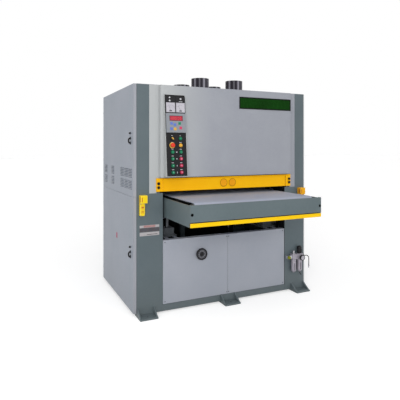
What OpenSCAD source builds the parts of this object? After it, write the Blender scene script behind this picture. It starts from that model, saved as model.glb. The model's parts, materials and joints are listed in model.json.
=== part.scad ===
// Wide belt sander with two heads, a rising feed table and a hood
// Millimetres. X runs across the machine, Y runs with the feed to the rear, Z is up from the floor.

/* [Sanding heads] */
// Width of the abrasive belts
abrasive_w = 1120; // [900:10:1350]
// Thickness of the abrasive belts
abrasive_t = 1.5; // [1:0.1:3]
// Radius of the contact drums
drum_r = 90; // [75:1:105]
// Radius of the drum shafts
drum_shaft_r = 30; // [22:1:36]
// Radius of the upper tension rollers
tension_r = 60; // [45:1:70]
// Room between the abrasive belts and the top cover
head_room = 113; // [90:1:160]
// Distance between the two heads
head_pitch = 500; // [440:5:540]
// Place of the front head behind the machine's middle
front_head_y = -150; // [-200:5:-110]
// Radius of the pressure rollers
press_r = 30; // [22:1:36]

/* [Drives] */
// Radius of the pulleys on the drum shafts
drum_pulley_r = 80; // [60:1:90]
// Radius of the pulleys on the motor shafts
motor_pulley_r = 100; // [70:1:110]
// Width of the pulleys
pulley_w = 50; // [30:1:55]
// Radius of the main motors
motor_r = 130; // [100:1:140]
// Length of the main motors
motor_len = 420; // [300:10:480]
// Radius of the motor shafts
motor_shaft_r = 21; // [15:1:28]

/* [Feed table] */
// Height of the feed belt's top above the floor
belt_top = 1058; // [1020:1:1100]
// Gap between the feed belt and the hood's underside
work_gap = 37; // [34:1:60]
// Thickness of the feed belt
belt_t = 4; // [2:0.5:6]
// Width of the feed belt past an abrasive belt, at each side
feed_margin = 35; // [20:1:60]
// Gap between the feed belt's edge and a side plate
belt_slit = 50; // [44:1:70]
// Thickness of the table's side plates
side_t = 12; // [8:1:16]
// Gap between the table and a column
table_gap = 18; // [10:1:30]
// Reach of the table in front of the columns
table_reach = 590; // [480:10:700]
// Reach of the table behind the columns
table_tail = 300; // [260:10:400]
// Height of the table's side plates below the belt's top
table_h = 188; // [180:1:205]
// Radius of the feed rollers
roller_r = 60; // [48:1:62]
// Radius of the feed rollers' journals
roller_shaft_r = 20; // [14:1:25]
// Radius of the lift screws
screw_r = 18; // [14:1:24]
// Height of the kick bar along the table's front edge
kick_h = 33; // [24:1:40]

/* [Frame] */
// Width of a column below the hood
column_w = 245; // [225:5:300]
// Width of a column beside the hood
column_upper_w = 115; // [90:5:140]
// Depth of a column
column_d = 120; // [100:5:160]
// Clear depth between the front and rear columns
inner_d = 980; // [920:10:1100]
// Height of the base above the floor
base_top = 660; // [600:5:690]
// Thickness of the foot plates
foot_t = 16; // [10:1:25]
// Reach of the feet past the columns
foot_reach = 110; // [80:5:140]
// Width of the feet
foot_w = 165; // [140:5:220]
// Radius of the anchor holes
anchor_r = 9; // [6:0.5:12]
// Thickness of the frame plates
plate_t = 8; // [5:1:12]
// Thickness of the sheet covers
sheet_t = 3; // [1.5:0.5:5]

/* [Hood and doors] */
// Height of the hood from its underside to the top cover
hood_h = 985; // [940:5:1100]
// Distance from the raised front cover to the column beside it
cover_inset = 90; // [70:1:130]
// Depth of the raised front cover
cover_proud = 50; // [30:1:80]
// Height of the guard in front of the drums
guard_h = 122; // [100:1:150]
// Lap of the guard past the throat, at each side
guard_lap = 66; // [55:1:80]
// Thickness of the side doors
door_t = 28; // [20:1:40]
// Thickness of the right side covers
right_cover_t = 10; // [8:1:40]
// Outer radius of the dust ports
port_r = 90; // [60:1:95]
// Height of the dust ports
port_h = 130; // [100:5:200]

/* [Console] */
// Width of the control console
console_w = 202; // [180:1:240]
// Height of the control console
console_h = 741; // [690:1:760]
// Depth of the console at its foot
console_foot_d = 83; // [70:1:110]
// Depth of the console at its top
console_top_d = 12; // [10:1:30]
// Radius of the push buttons
button_r = 12; // [9:0.5:14]
// Height of a row of buttons
button_pitch = 61; // [48:1:64]

/* [Hidden] */
$fn = 64;
// Overrun of every cut
cut = 1;
// Hairline between welded or bolted members of one piece
weld_gap = 0.2;
// Radial clearance of a shaft in its bearing
run_clear = 0.05;
// Clearance between a belt and what it runs on
belt_seat = 0.3;
// Clearance round a push button
button_clear = 0.3;

// Widths, from the abrasive belt outwards
belt_w = abrasive_w + 2 * feed_margin;
table_w = belt_w + 2 * (belt_slit + side_t);
throat_w = table_w + 2 * table_gap;
x_in = throat_w / 2;
x_out = x_in + column_w;
x_up = x_out - column_upper_w;

// Depths
frame_d = inner_d + 2 * column_d;
front_y = -frame_d / 2;
rear_y = frame_d / 2;
rear_head_y = front_head_y + head_pitch;
head_ys = [front_head_y, rear_head_y];

// Heights
hood_z = belt_top + work_gap;
frame_h = hood_z + hood_h;
top_z = frame_h - sheet_t;
cap_z = hood_z - plate_t;

// Side rails and bearing rails
rail_w = 60;
rail_h = 60;
split_drop = 27;
split_z = hood_z - split_drop;
bearing_rail_w = 80;
bearing_rail_t = 25;
bearing_x = x_in + (column_w - column_upper_w) / 2;
rail_top = hood_z + bearing_rail_t;

// Base
beam_d = 60;
beam_h = 60;
sill_h = 59;
sill_top = foot_t + sill_h;
mid_post_w = 60;
panel_recess = 4;
panel_gap = 2;
panel_back_y = front_y + panel_recess + sheet_t;
foot_under = 60;
gusset_t = 12;
gusset_h = 65;
gusset_reach = 95;
anchor_out = 60;
jack_bar_w = 35;

// Head parts
nip_lift = 1;
drum_z = hood_z + nip_lift + abrasive_t + belt_seat + drum_r;
tension_z = top_z - head_room - abrasive_t - belt_seat - tension_r;
drum_overhang = 5;
drum_len = abrasive_w + 2 * drum_overhang;
bearing_w = 60;
bearing_l = 170;
bearing_foot_h = 20;
bearing_wall = 24;
shaft_tail = 10;
pulley_gap = 12;
pulley_x = bearing_x + bearing_rail_w / 2 + pulley_gap;
leg_w = 40;
leg_gap = 8;
leg_y = bearing_l / 2 + leg_gap + leg_w / 2;
bridge_t = 30;
head_beam_w = 90;
head_beam_h = 120;
head_beam_end = 40;
cylinder_r = 40;
cylinder_h = 130;
piston_r = 13;
piston_show = 45;
yoke_t = 20;
yoke_w = 60;
yoke_bar_h = 30;
yoke_drop = 60;
yoke_gap = 8;
yoke_top = 40;
yoke_x = drum_len / 2 + yoke_gap;
yoke_z = tension_z - tension_r - yoke_drop;
tension_shaft_r = 15;
head_beam_z = yoke_z - piston_show - cylinder_h - head_beam_h;
drive_belt_t = 12;
press_len = belt_w;
press_shaft_r = 12;
press_z = hood_z + nip_lift + press_r;
press_front = 260;
press_rear = 60;
press_ys = [front_y + press_front, rear_y - press_rear];
hanger_l = 50;
hanger_w = 60;
hanger_top = 30;
hanger_x = bearing_x - bearing_rail_w / 2;

// Motors on the base's floor plate
motor_gap = 20;
motor_lift = 25;
motor_x = pulley_x - motor_gap;
motor_floor = foot_t + plate_t;
motor_z = motor_floor + motor_lift + motor_r;
motor_ahead = 70;
motor_back = 90;
motor_ys = [front_head_y - motor_ahead, rear_head_y - motor_back];
motor_foot_w = 200;
motor_foot_l = 260;
motor_bore_l = 80;
motor_cap_t = 50;
motor_cap_share = 0.82;

// Feed table
table_front_y = front_y - table_reach;
table_rear_y = rear_y + table_tail;
table_bottom = belt_top - table_h;
side_drop = 13;
side_top = belt_top - side_drop;
front_drop = 8;
front_t = 10;
front_return = 30;
roller_inset = 90;
front_roller_y = table_front_y + roller_inset;
rear_roller_y = table_rear_y - roller_inset;
roller_z = belt_top - belt_t - belt_seat - roller_r;
roller_overhang = 5;
roller_len = belt_w + 2 * roller_overhang;
side_x = table_w / 2 - side_t;
block_w = 35;
block_h = 80;
bed_t = 12;
bed_margin = 10;
bed_w = belt_w + bed_margin;
bed_gap = 10;
bed_top = belt_top - belt_t - belt_seat;
cross_tube_w = 60;
cross_tube_h = 60;
cross_tubes = 5;
lift_tube_w = 90;
lift_tube_h = 48;
guide_back = 24;
guide_w = 50;
guide_h = 36;
guide_share = 0.76;
kick_t = 9;
kick_gap = 1;
kick_z = table_bottom + kick_gap;
kick_top = kick_z + kick_h;
kick_pin_r = 6;
kick_pin_past = 12;
access_r = 12;
access_inset = 3;
access_drop = 85;
gear_w = 110;
gear_l = 150;
gear_shaft_l = 90;
shaft_hole_clear = 3;
can_r = 52;
can_h = 190;

// Lift jacks
jack_inset = 97;
jack_x = table_w / 2 - jack_inset;
jack_setback = 90;
jack_y = inner_d / 2 - jack_setback;
jack_w = 110;
jack_h = 80;
jack_pad_w = 150;
jack_pad_t = 14;
jack_bar_clear = 10;
jack_bar_gap = 2 * (screw_r + jack_bar_clear);
screw_tail = 150;

// Guard
guard_lift = 13;
guard_z = hood_z + guard_lift;
guard_top = guard_z + guard_h;
guard_t = 3;
guard_w = throat_w + 2 * guard_lap;
guard_proud = 12;
guard_y = front_y - guard_proud;
tab_w = 61;
flap_end_gap = 6;
flap_w = guard_w - 2 * (tab_w + flap_end_gap);
flap_lip = 24;
flap_pin_r = 4;
flap_barrel_r = 7;
flap_pin_l = 45;
flap_lug_t = 4;
flap_top_gap = 8;
flap_axis_z = guard_top - flap_top_gap;
flap_axis_y = guard_y + guard_t / 2;
strip_lap = 6;

// Raised front cover
cover_w = 2 * (x_up - cover_inset);
cover_y = front_y - cover_proud;
cover_lift = 8;
cover_top_gap = 5;

// Dust ports
port_wall = 3;
port_flange_w = 22;
port_flange_t = 5;
port_pitch = 396;
port_shift = 34;
port_ahead = 165;
port_xs = [port_shift - port_pitch / 2, port_shift + port_pitch / 2];

// Doors on the left, covers on the right
door_gap = 3;
door_x = x_out + door_gap;
door_face_x = door_x + door_t;
door_end_gap = 2;
door_rear_y = rear_y - door_end_gap;
door_foot = 34;
door_seam = 4;
upper_door_z = [split_z + door_seam / 2, frame_h - door_seam / 2];
lower_door_z = [door_foot, split_z - door_seam / 2];
hinge_back = 14;
hinge_x = door_x + door_t / 2;
hinge_y = rear_y + hinge_back;
hinge_inset = 120;
knuckle_r = 9;
knuckle_h = 50;
knuckle_gap = 0.5;
pin_r = 5;
pin_past = 8;
lug_t = 12;
lug_r = 10;
lug_seat = 25;
leaf_t = 8;
latch_inset = 94;
latch_rise = 571;
latch_fall = 457;
upper_latch_z = split_z + latch_rise;
lower_latch_z = split_z - latch_fall;
latch_knob_r = 10;
latch_knob_l = 14;
latch_knob_gap = 0.5;
latch_shaft_r = 5;
latch_cam_x = 10;
latch_cam_t = 5;
latch_cam_w = 14;
latch_cam_l = 38;
handle_drop = 38;
handle_h = 58;
handle_r = 5;
handle_out = 25;

// Console, in its own leaning frame whose origin is the bottom edge of its front
console_inset = 130;
console_x = console_inset - cover_w / 2;
console_lift = 154;
console_z = hood_z + console_lift;
console_top_z = console_z + console_h;
console_lean = atan((console_foot_d - console_top_d) / console_h);
console_slope = console_h / cos(console_lean);
console_rim = 4;
console_plate_t = 2;
bezel_w = 4;
bezel_h = 7;
cap_proud = 7;
cap_inner = 18;
button_column = 40;
first_row = 342;
row_z = [for (row = [0:5]) first_row - row * button_pitch];
stop_r = 20;
stop_h = 13;
stop_gap = 7;
selector_fin_w = 9;
selector_fin_h = 12;
selector_turn = 45;
controller_z = 395;
controller_h = 175;
controller_t = 16;
controller_inset = 3;
meter_gap = 6;
meter_z = controller_z + controller_h + meter_gap;
meter_h = 148;
meter_t = 14;
meter_split = 2;

// Speed handwheel on the lower left panel
wheel_inset = 385;
wheel_x = wheel_inset - x_in;
wheel_drop = 161;
wheel_z = base_top - wheel_drop;
wheel_r = 56;
wheel_gap = 8;
wheel_t = 26;
wheel_rim_w = 12;
wheel_dish = 10;
wheel_hub_r = 17;
wheel_hub_h = 12;
wheel_shaft_r = 9;
wheel_shaft_l = 70;
wheel_boss_r = 24;
wheel_boss_l = 45;

// Guard switches on the columns
switch_inset = 65;
switch_x = x_out - switch_inset;
switch_w = 45;
switch_d = 38;
switch_h = 113;
switch_head_d = 60;
switch_head_h = 70;
switch_head_lap = 17;
switch_drop = 80;
switch_z = hood_z - switch_drop - switch_h;

// Air service unit on the right column
air_inset = 116;
air_x = x_out - air_inset;
air_z = 338;
air_w = 132;
air_d = 50;
air_h = 56;
air_back = 8;
air_y = front_y - air_back - air_d / 2;
air_plate_w = 96;
air_plate_h = 80;
bowl_r = 27;
bowl_h = 137;
bowl_foot_h = 16;
bowl_foot_share = 0.6;
bowl_pitch = 76;
dome_r = 15;
dome_h = 34;
knob_r = 26;
knob_h = 76;
knob_gap = 0.3;
knob_stem_r = 8;
knob_stem_l = 20;
valve_w = 62;
valve_h = 32;
valve_d = 36;
valve_knob_r = 17;
valve_knob_h = 22;
valve_stem_r = 6;
valve_stem_l = 16;
valve_inset = 14;
elbow_w = 26;
elbow_h = 34;
elbow_share = 0.33;
gauge_r = 28;
gauge_t = 24;
gauge_stem_r = 7;
gauge_stem_l = 12;
gauge_rise = 17;
nipple_r = 6;
nipple_l = 10;

// Air hose from the nipple to its coupling, one hand-laid route across and up from the nipple's end
hose_r = 4;
hose_sides = 10;
nipple_rise = 22;
hose_route = [
  [0, 0], [8, 0], [24, 0], [33, -1], [42, -5], [49, -10], [55, -18], [59, -27],
  [60, -36], [60, -52], [60, -68], [60, -84], [60, -96], [60, -104]
];
fitting_r = 8;
fitting_l = 34;
fitting_tail_r = 5;

// Box between two corners
module block(low, high) {
  translate(low) cube(high - low);
}

// Round bars along each axis, from one end to the other
module rod_x(r, x0, x1, y, z) {
  translate([x0, y, z]) rotate([0, 90, 0]) cylinder(r = r, h = x1 - x0);
}
module rod_y(r, y0, y1, x, z) {
  translate([x, y1, z]) rotate([90, 0, 0]) cylinder(r = r, h = y1 - y0);
}
module rod_z(r, z0, z1, x, y) {
  translate([x, y, z0]) cylinder(r = r, h = z1 - z0);
}

// Outline in the YZ plane, drawn out along X
module along_x(x0, x1) {
  translate([x0, 0, 0]) rotate([90, 0, 90]) linear_extrude(height = x1 - x0) children();
}

module both_sides() {
  for (side = [0, 1]) mirror([side, 0, 0]) children();
}
module both_ends() {
  for (end = [0, 1]) mirror([0, end, 0]) children();
}

// Endless belt of one width round two wheels, in the YZ plane
module belt_loop(a, a_r, b, b_r, thick, x0, x1) {
  along_x(x0, x1) difference() {
    hull() {
      translate(a) circle(r = a_r + belt_seat + thick);
      translate(b) circle(r = b_r + belt_seat + thick);
    }
    hull() {
      translate(a) circle(r = a_r + belt_seat);
      translate(b) circle(r = b_r + belt_seat);
    }
  }
}

// Floor foot: a plate with an anchor hole and a gusset at each end
module foot(x) {
  difference() {
    block([x - foot_w / 2, front_y - foot_reach, 0], [x + foot_w / 2, front_y + foot_under, foot_t]);
    rod_z(anchor_r, -cut, foot_t + cut, x, front_y - anchor_out);
  }
  for (edge = [x - foot_w / 2, x + foot_w / 2 - gusset_t])
    along_x(edge, edge + gusset_t) polygon([
      [front_y - weld_gap, foot_t + weld_gap],
      [front_y - weld_gap, foot_t + gusset_h],
      [front_y - gusset_reach, foot_t + weld_gap]
    ]);
}

foot_x = x_out - foot_w / 2;
beam_x = x_in - weld_gap;

module base_frame() {
  color("#65727a") {
    both_ends() {
      block([-beam_x, front_y, foot_t + weld_gap], [beam_x, front_y + beam_d, sill_top]);
      block([-beam_x, panel_back_y, base_top - beam_h], [beam_x, panel_back_y + beam_d, base_top]);
      block(
        [-mid_post_w / 2, panel_back_y, sill_top + weld_gap],
        [mid_post_w / 2, panel_back_y + beam_d, base_top - beam_h - weld_gap]
      );
      foot(0);
      both_sides() foot(foot_x);
    }
    floor_y = front_y + beam_d + weld_gap;
    block([-beam_x, floor_y, foot_t + weld_gap], [beam_x, -floor_y, motor_floor]);
    jack_bar_y = panel_back_y + beam_d + weld_gap;
    both_sides() for (edge = [-jack_bar_gap / 2 - jack_bar_w, jack_bar_gap / 2])
      block(
        [jack_x + edge, jack_bar_y, base_top - beam_h],
        [jack_x + edge + jack_bar_w, -jack_bar_y, base_top]
      );
  }
}

// Front column of the right side: face plates, webs and the shelf that closes its wide part
module column() {
  web_y = front_y + plate_t + weld_gap;
  back_y = front_y + column_d;
  block([x_in, front_y, foot_t], [x_out, front_y + plate_t, hood_z]);
  for (x = [x_in, x_out - plate_t])
    block([x, web_y, foot_t], [x + plate_t, back_y, cap_z]);
  block([x_in, web_y, cap_z + weld_gap], [x_out, back_y, hood_z]);
  block([x_up, front_y, hood_z + weld_gap], [x_out, front_y + plate_t, top_z]);
  for (x = [x_up, x_out - plate_t])
    block([x, web_y, hood_z + weld_gap], [x + plate_t, back_y, top_z]);
}

// Right side frame: two columns, three side rails and the rail for the drum bearings
module side_frame() {
  both_ends() column();
  rail_y = inner_d / 2 - weld_gap;
  for (z = [foot_t, split_z - rail_h / 2, top_z - rail_h])
    block([x_out - rail_w, -rail_y, z], [x_out, rail_y, z + rail_h]);
  end_y = rear_y - plate_t - weld_gap;
  block(
    [bearing_x - bearing_rail_w / 2, -end_y, hood_z + weld_gap],
    [bearing_x + bearing_rail_w / 2, end_y, rail_top]
  );
}

// Bottom of each hinge knuckle of a door that runs between two heights
function hinge_zs(span) = [span[0] + hinge_inset, span[1] - hinge_inset - knuckle_h];

module left_side_frame() {
  color("#65727a") {
    mirror([1, 0, 0]) side_frame();
    for (span = [upper_door_z, lower_door_z], z = hinge_zs(span)) {
      lug_end = hinge_y + lug_r;
      block([-hinge_x - lug_r, hinge_y - lug_r, z - lug_t], [-x_out + lug_seat, lug_end, z]);
      block([-x_out, rear_y + weld_gap, z - lug_t], [-x_out + lug_seat, lug_end, z]);
      rod_z(pin_r, z + weld_gap, z + knuckle_h + pin_past, -hinge_x, hinge_y);
    }
  }
}

module right_side_frame() {
  color("#65727a") side_frame();
}

module each_port() {
  for (x = port_xs, y = head_ys) translate([x, y - port_ahead, 0]) children();
}

module top_cover() {
  color("#9da2aa") difference() {
    block([-x_out, front_y, top_z], [x_out, rear_y, frame_h]);
    each_port() rod_z(port_r - port_wall, top_z - cut, frame_h + cut, 0, 0);
  }
}

module dust_ports() {
  color("#4a4a50") each_port() difference() {
    union() {
      rod_z(port_r, frame_h, frame_h + port_h, 0, 0);
      rod_z(port_r + port_flange_w, frame_h, frame_h + port_flange_t, 0, 0);
    }
    rod_z(port_r - port_wall, frame_h - cut, frame_h + port_h + cut, 0, 0);
  }
}

module hood_front() {
  sheet_x = x_up - weld_gap;
  color("#abb0b3") {
    block([-sheet_x, front_y, guard_top], [sheet_x, front_y + sheet_t, top_z]);
    both_sides() block(
      [guard_w / 2 - strip_lap, front_y, hood_z],
      [sheet_x, front_y + sheet_t, guard_top - weld_gap]
    );
  }
}

module hood_cover() {
  low = [-cover_w / 2, cover_y, guard_top + cover_lift];
  high = [cover_w / 2, front_y, frame_h - cover_top_gap];
  color("#9da2aa") difference() {
    block(low, high);
    block(low + [sheet_t, sheet_t, sheet_t], high + [-sheet_t, cut, -sheet_t]);
  }
}

module hood_rear() {
  sheet_x = x_up - weld_gap;
  color("#9da2aa") block([-sheet_x, rear_y - sheet_t, hood_z], [sheet_x, rear_y, top_z]);
}

// Two lower panels at the front and two at the rear, with the handwheel's bearing behind one
module lower_panels() {
  panel_y = front_y + panel_recess;
  color("#9da2aa") difference() {
    union() {
      both_ends() both_sides() block(
        [panel_gap / 2, panel_y, sill_top + panel_gap],
        [x_in - panel_gap, panel_back_y, base_top]
      );
      rod_y(wheel_boss_r, panel_back_y + weld_gap, panel_back_y + wheel_boss_l, wheel_x, wheel_z);
    }
    rod_y(
      wheel_shaft_r + run_clear, panel_y - cut, panel_back_y + wheel_boss_l + cut, wheel_x, wheel_z
    );
  }
}

// Folded tray that is open to the side frame, for the left side
module door_tray(face_x, seat_x, span) {
  low = [-face_x, front_y, span[0]];
  high = [-seat_x, door_rear_y, span[1]];
  difference() {
    block(low, high);
    block(low + [sheet_t, sheet_t, sheet_t], high + [cut, -sheet_t, -sheet_t]);
  }
}

module right_covers() {
  color("#9da2aa") mirror([1, 0, 0]) for (span = [upper_door_z, lower_door_z])
    door_tray(x_out + right_cover_t, x_out, span);
}

// Left door with its hinge knuckles, a hole for the latch and a bow handle below it
module left_door(span, latch_z) {
  latch_y = front_y + latch_inset;
  difference() {
    union() {
      door_tray(door_face_x, door_x, span);
      for (z = hinge_zs(span)) {
        block(
          [-hinge_x - leaf_t / 2, door_rear_y - sheet_t, z + knuckle_gap],
          [-hinge_x + leaf_t / 2, hinge_y, z + knuckle_h]
        );
        rod_z(knuckle_r, z + knuckle_gap, z + knuckle_h, -hinge_x, hinge_y);
      }
    }
    for (z = hinge_zs(span))
      rod_z(pin_r + run_clear, z, z + knuckle_h + cut, -hinge_x, hinge_y);
    rod_x(
      latch_shaft_r + run_clear, -door_face_x - cut, -door_face_x + sheet_t + cut, latch_y, latch_z
    );
  }
  handle_top = latch_z - handle_drop;
  handle_x = -door_face_x - handle_out + handle_r;
  for (z = [handle_top - handle_r, handle_top - handle_h + handle_r])
    rod_x(handle_r, handle_x, -door_face_x - weld_gap, latch_y, z);
  rod_z(handle_r, handle_top - handle_h, handle_top, handle_x, latch_y);
}

module upper_door() {
  color("#979da8") left_door(upper_door_z, upper_latch_z);
}
module lower_door() {
  color("#979da8") left_door(lower_door_z, lower_latch_z);
}

// Quarter-turn latch: a knob outside, its shaft and a cam inside the door
module door_latch(z) {
  y = front_y + latch_inset;
  cam_x = -door_face_x + latch_cam_x;
  rod_x(latch_knob_r, -door_face_x - latch_knob_gap - latch_knob_l, -door_face_x - latch_knob_gap, y, z);
  rod_x(latch_shaft_r, -door_face_x - latch_knob_gap - cut, cam_x + latch_cam_t, y, z);
  block(
    [cam_x, y - latch_cam_w / 2, z - latch_cam_l],
    [cam_x + latch_cam_t, y + latch_cam_w / 2, z + latch_cam_w / 2]
  );
}

module upper_latch() {
  color("#202022") door_latch(upper_latch_z);
}
module lower_latch() {
  color("#202022") door_latch(lower_latch_z);
}

// Moves into the console's own frame: X across, Z up the front, -Y out of it
module on_console() {
  translate([console_x, cover_y - console_foot_d, console_z]) rotate([-console_lean, 0, 0]) children();
}

// Centres of all the round controls on the console's front
control_places = [for (z = row_z, x = [-button_column, button_column]) [x, z]];

module console_bores(y0, y1) {
  for (place = control_places)
    rod_y(button_r + button_clear, y0, y1, place[0], place[1]);
}

module console_box() {
  outer = [
    [cover_y, console_z],
    [cover_y - console_foot_d, console_z],
    [cover_y - console_top_d, console_top_z],
    [cover_y, console_top_z]
  ];
  inner = [
    [cover_y + cut, console_z + sheet_t],
    [cover_y - console_foot_d + sheet_t, console_z + sheet_t],
    [cover_y - console_top_d + sheet_t, console_top_z - sheet_t],
    [cover_y + cut, console_top_z - sheet_t]
  ];
  half = console_w / 2;
  color("#abb0b3") difference() {
    along_x(console_x - half, console_x + half) polygon(outer);
    along_x(console_x - half + sheet_t, console_x + half - sheet_t) polygon(inner);
    on_console() console_bores(-cut, 2 * sheet_t);
  }
}

plate_half = console_w / 2 - console_rim;
bezel_y = -console_plate_t - bezel_h;

module console_plate() {
  color("#2b2a2c") on_console() difference() {
    union() {
      block([-plate_half, -console_plate_t, console_rim], [plate_half, 0, console_slope - console_rim]);
      for (place = control_places)
        rod_y(button_r + button_clear + bezel_w, bezel_y, -cut, place[0], place[1]);
    }
    console_bores(bezel_y - cut, cut);
  }
}

module panel_meters() {
  color("#2b2a2c") on_console() for (x = [-plate_half + controller_inset, meter_split / 2])
    block(
      [x, -console_plate_t - meter_t, meter_z],
      [x + plate_half - controller_inset - meter_split / 2, -console_plate_t, meter_z + meter_h]
    );
}

module thickness_controller() {
  half = plate_half - controller_inset;
  color("#8f939b") on_console()
    block(
      [-half, -console_plate_t - controller_t, controller_z],
      [half, -console_plate_t, controller_z + controller_h]
    );
}

// Plunger of a button or lamp; columns are -1 and 1, rows count from the top
module plunger(column, row) {
  rod_y(button_r, bezel_y - cap_proud, cap_inner, column * button_column, row_z[row]);
}

module pilot_lamps() {
  color("#3f9d4f") on_console() plunger(1, 0);
  color("#e0b23c") on_console() plunger(1, 1);
}

module mode_selector() {
  color("#c79a2b") on_console() {
    plunger(-1, 0);
    fin_y = bezel_y - cap_proud;
    translate([-button_column, 0, row_z[0]]) rotate([0, -selector_turn, 0]) block(
      [-selector_fin_w / 2, fin_y - selector_fin_h, -button_r],
      [selector_fin_w / 2, fin_y + cut, button_r]
    );
  }
}

module emergency_stop() {
  head_y = bezel_y - stop_gap;
  color("#c8321e") on_console() {
    plunger(-1, 1);
    rod_y(stop_r, head_y - stop_h, head_y, -button_column, row_z[1]);
  }
}

module green_button(column, row) {
  color("#3f9d4f") on_console() plunger(column, row);
}
module red_button(column, row) {
  color("#c0392b") on_console() plunger(column, row);
}
module table_up_button() {
  green_button(-1, 2);
}
module table_down_button() {
  green_button(1, 2);
}
module front_head_start() {
  green_button(-1, 3);
}
module front_head_stop() {
  red_button(1, 3);
}
module rear_head_start() {
  green_button(-1, 4);
}
module rear_head_stop() {
  red_button(1, 4);
}
module feed_start() {
  green_button(-1, 5);
}
module feed_stop() {
  red_button(1, 5);
}

// Fixed end tabs of the guard, each with a return to the hood and the flap's hinge pin
module guard_tabs() {
  tab_x = guard_w / 2 - tab_w;
  color("#f7b60f") both_sides() {
    block([tab_x, guard_y, guard_z], [guard_w / 2, guard_y + guard_t, guard_top]);
    block([guard_w / 2 - guard_t, guard_y, guard_z], [guard_w / 2, front_y, guard_top]);
    rod_x(flap_barrel_r, tab_x - flap_lug_t, tab_x + flap_lug_t, flap_axis_y, flap_axis_z);
    rod_x(flap_pin_r, tab_x - flap_lug_t - flap_pin_l, tab_x, flap_axis_y, flap_axis_z);
  }
}

module safety_flap() {
  half = flap_w / 2;
  color("#f7b60f") difference() {
    union() {
      block([-half, guard_y, guard_z], [half, guard_y + guard_t, flap_axis_z]);
      block([-half, guard_y, guard_z], [half, guard_y + flap_lip, guard_z + guard_t]);
      rod_x(flap_barrel_r, -half, half, flap_axis_y, flap_axis_z);
    }
    both_sides()
      rod_x(flap_pin_r + run_clear, half - flap_pin_l, half + cut, flap_axis_y, flap_axis_z);
  }
}

// Yellow switch on each column: a body and a deeper head above it
module guard_switches() {
  head_z = switch_z + switch_h;
  color("#efb820") both_sides() {
    block([switch_x, front_y - switch_d, switch_z], [switch_x + switch_w, front_y, head_z]);
    block(
      [switch_x - switch_head_lap, front_y - switch_head_d, head_z + weld_gap],
      [switch_x + switch_w, front_y, head_z + switch_head_h]
    );
  }
}

air_top = air_z + air_h;
air_front_y = front_y - air_back - air_d;
air_xs = [air_x - bowl_pitch / 2, air_x + bowl_pitch / 2];
air_left = air_x - air_w / 2;
air_right = air_x + air_w / 2;
valve_x = air_left - valve_w + valve_inset;
valve_z = air_z + air_h / 2;
valve_front_y = air_y - valve_d / 2;
gauge_z = air_z + gauge_rise;
hose_x = air_right + elbow_w + nipple_l;
hose_z = air_z + nipple_rise;

// Bowl under one half of the air service unit
module bowl(x) {
  translate([x, air_y, air_z - bowl_h]) rotate_extrude() polygon([
    [0, 0],
    [bowl_r * bowl_foot_share, 0],
    [bowl_r, bowl_foot_h],
    [bowl_r, bowl_h - weld_gap],
    [0, bowl_h - weld_gap]
  ]);
}

// Back plate, two-part body, bowls, lubricator dome, shut-off valve and outlet elbow
module air_unit() {
  color("#55585c") {
    block(
      [air_x - air_plate_w / 2, front_y - air_back + weld_gap, air_z - air_h / 2],
      [air_x + air_plate_w / 2, front_y, air_z - air_h / 2 + air_plate_h]
    );
    difference() {
      block([air_left, air_front_y, air_z], [air_right, front_y - air_back, air_top]);
      rod_z(knob_stem_r + run_clear, air_top - knob_stem_l - cut, air_top + cut, air_xs[1], air_y);
    }
    rod_z(dome_r, air_top + weld_gap, air_top + dome_h, air_xs[0], air_y);
    difference() {
      block(
        [air_left - valve_w, valve_front_y, valve_z - valve_h / 2],
        [air_left - weld_gap, valve_front_y + valve_d, valve_z + valve_h / 2]
      );
      rod_y(
        valve_stem_r + run_clear, valve_front_y - cut, valve_front_y + valve_stem_l + cut,
        valve_x, valve_z
      );
    }
    block(
      [air_right + weld_gap, air_y - air_d * elbow_share, air_z],
      [air_right + elbow_w, air_y + air_d * elbow_share, air_z + elbow_h]
    );
    rod_x(nipple_r, air_right + elbow_w + weld_gap, hose_x, air_y, hose_z);
    for (x = air_xs) bowl(x);
  }
}

module air_gauge() {
  back_y = air_front_y - gauge_stem_l;
  color("#26272a") {
    rod_y(gauge_stem_r, back_y, air_front_y, air_xs[1], gauge_z);
    rod_y(gauge_r, back_y - gauge_t, back_y, air_xs[1], gauge_z);
  }
}

module regulator_knob() {
  color("#26272a") {
    rod_z(knob_r, air_top + knob_gap, air_top + knob_h, air_xs[1], air_y);
    rod_z(knob_stem_r, air_top - knob_stem_l, air_top + knob_h, air_xs[1], air_y);
  }
}

module shutoff_knob() {
  color("#b9b52c") {
    rod_y(valve_knob_r, valve_front_y - valve_knob_h, valve_front_y - knob_gap, valve_x, valve_z);
    rod_y(valve_stem_r, valve_front_y - valve_knob_h, valve_front_y + valve_stem_l, valve_x, valve_z);
  }
}

// Hose swept along its route: a ring of points square to the route at each place
hose_last = len(hose_route) - 1;
function hose_heading(i) =
  let (step = hose_route[min(i + 1, hose_last)] - hose_route[max(i - 1, 0)]) step / norm(step);
function hose_ring(i) = [
  for (side = [0:hose_sides - 1])
    let (turn = 360 * side / hose_sides, ahead = hose_heading(i))
    [
      hose_x + hose_route[i][0] - ahead[1] * hose_r * cos(turn),
      air_y + hose_r * sin(turn),
      hose_z + hose_route[i][1] + ahead[0] * hose_r * cos(turn)
    ]
];

module air_hose() {
  points = [for (i = [0:hose_last], point = hose_ring(i)) point];
  walls = [
    for (i = [0:hose_last - 1], side = [0:hose_sides - 1])
      let (
        here = i * hose_sides + side,
        beside = i * hose_sides + (side + 1) % hose_sides
      )
      each [
        [here, here + hose_sides, beside],
        [beside, here + hose_sides, beside + hose_sides]
      ]
  ];
  start = [for (side = [1:hose_sides - 2]) [0, side, side + 1]];
  end_0 = hose_last * hose_sides;
  finish = [for (side = [1:hose_sides - 2]) [end_0, end_0 + side + 1, end_0 + side]];
  color("#1c1c1e") polyhedron(points = points, faces = concat(walls, start, finish));
}

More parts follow.
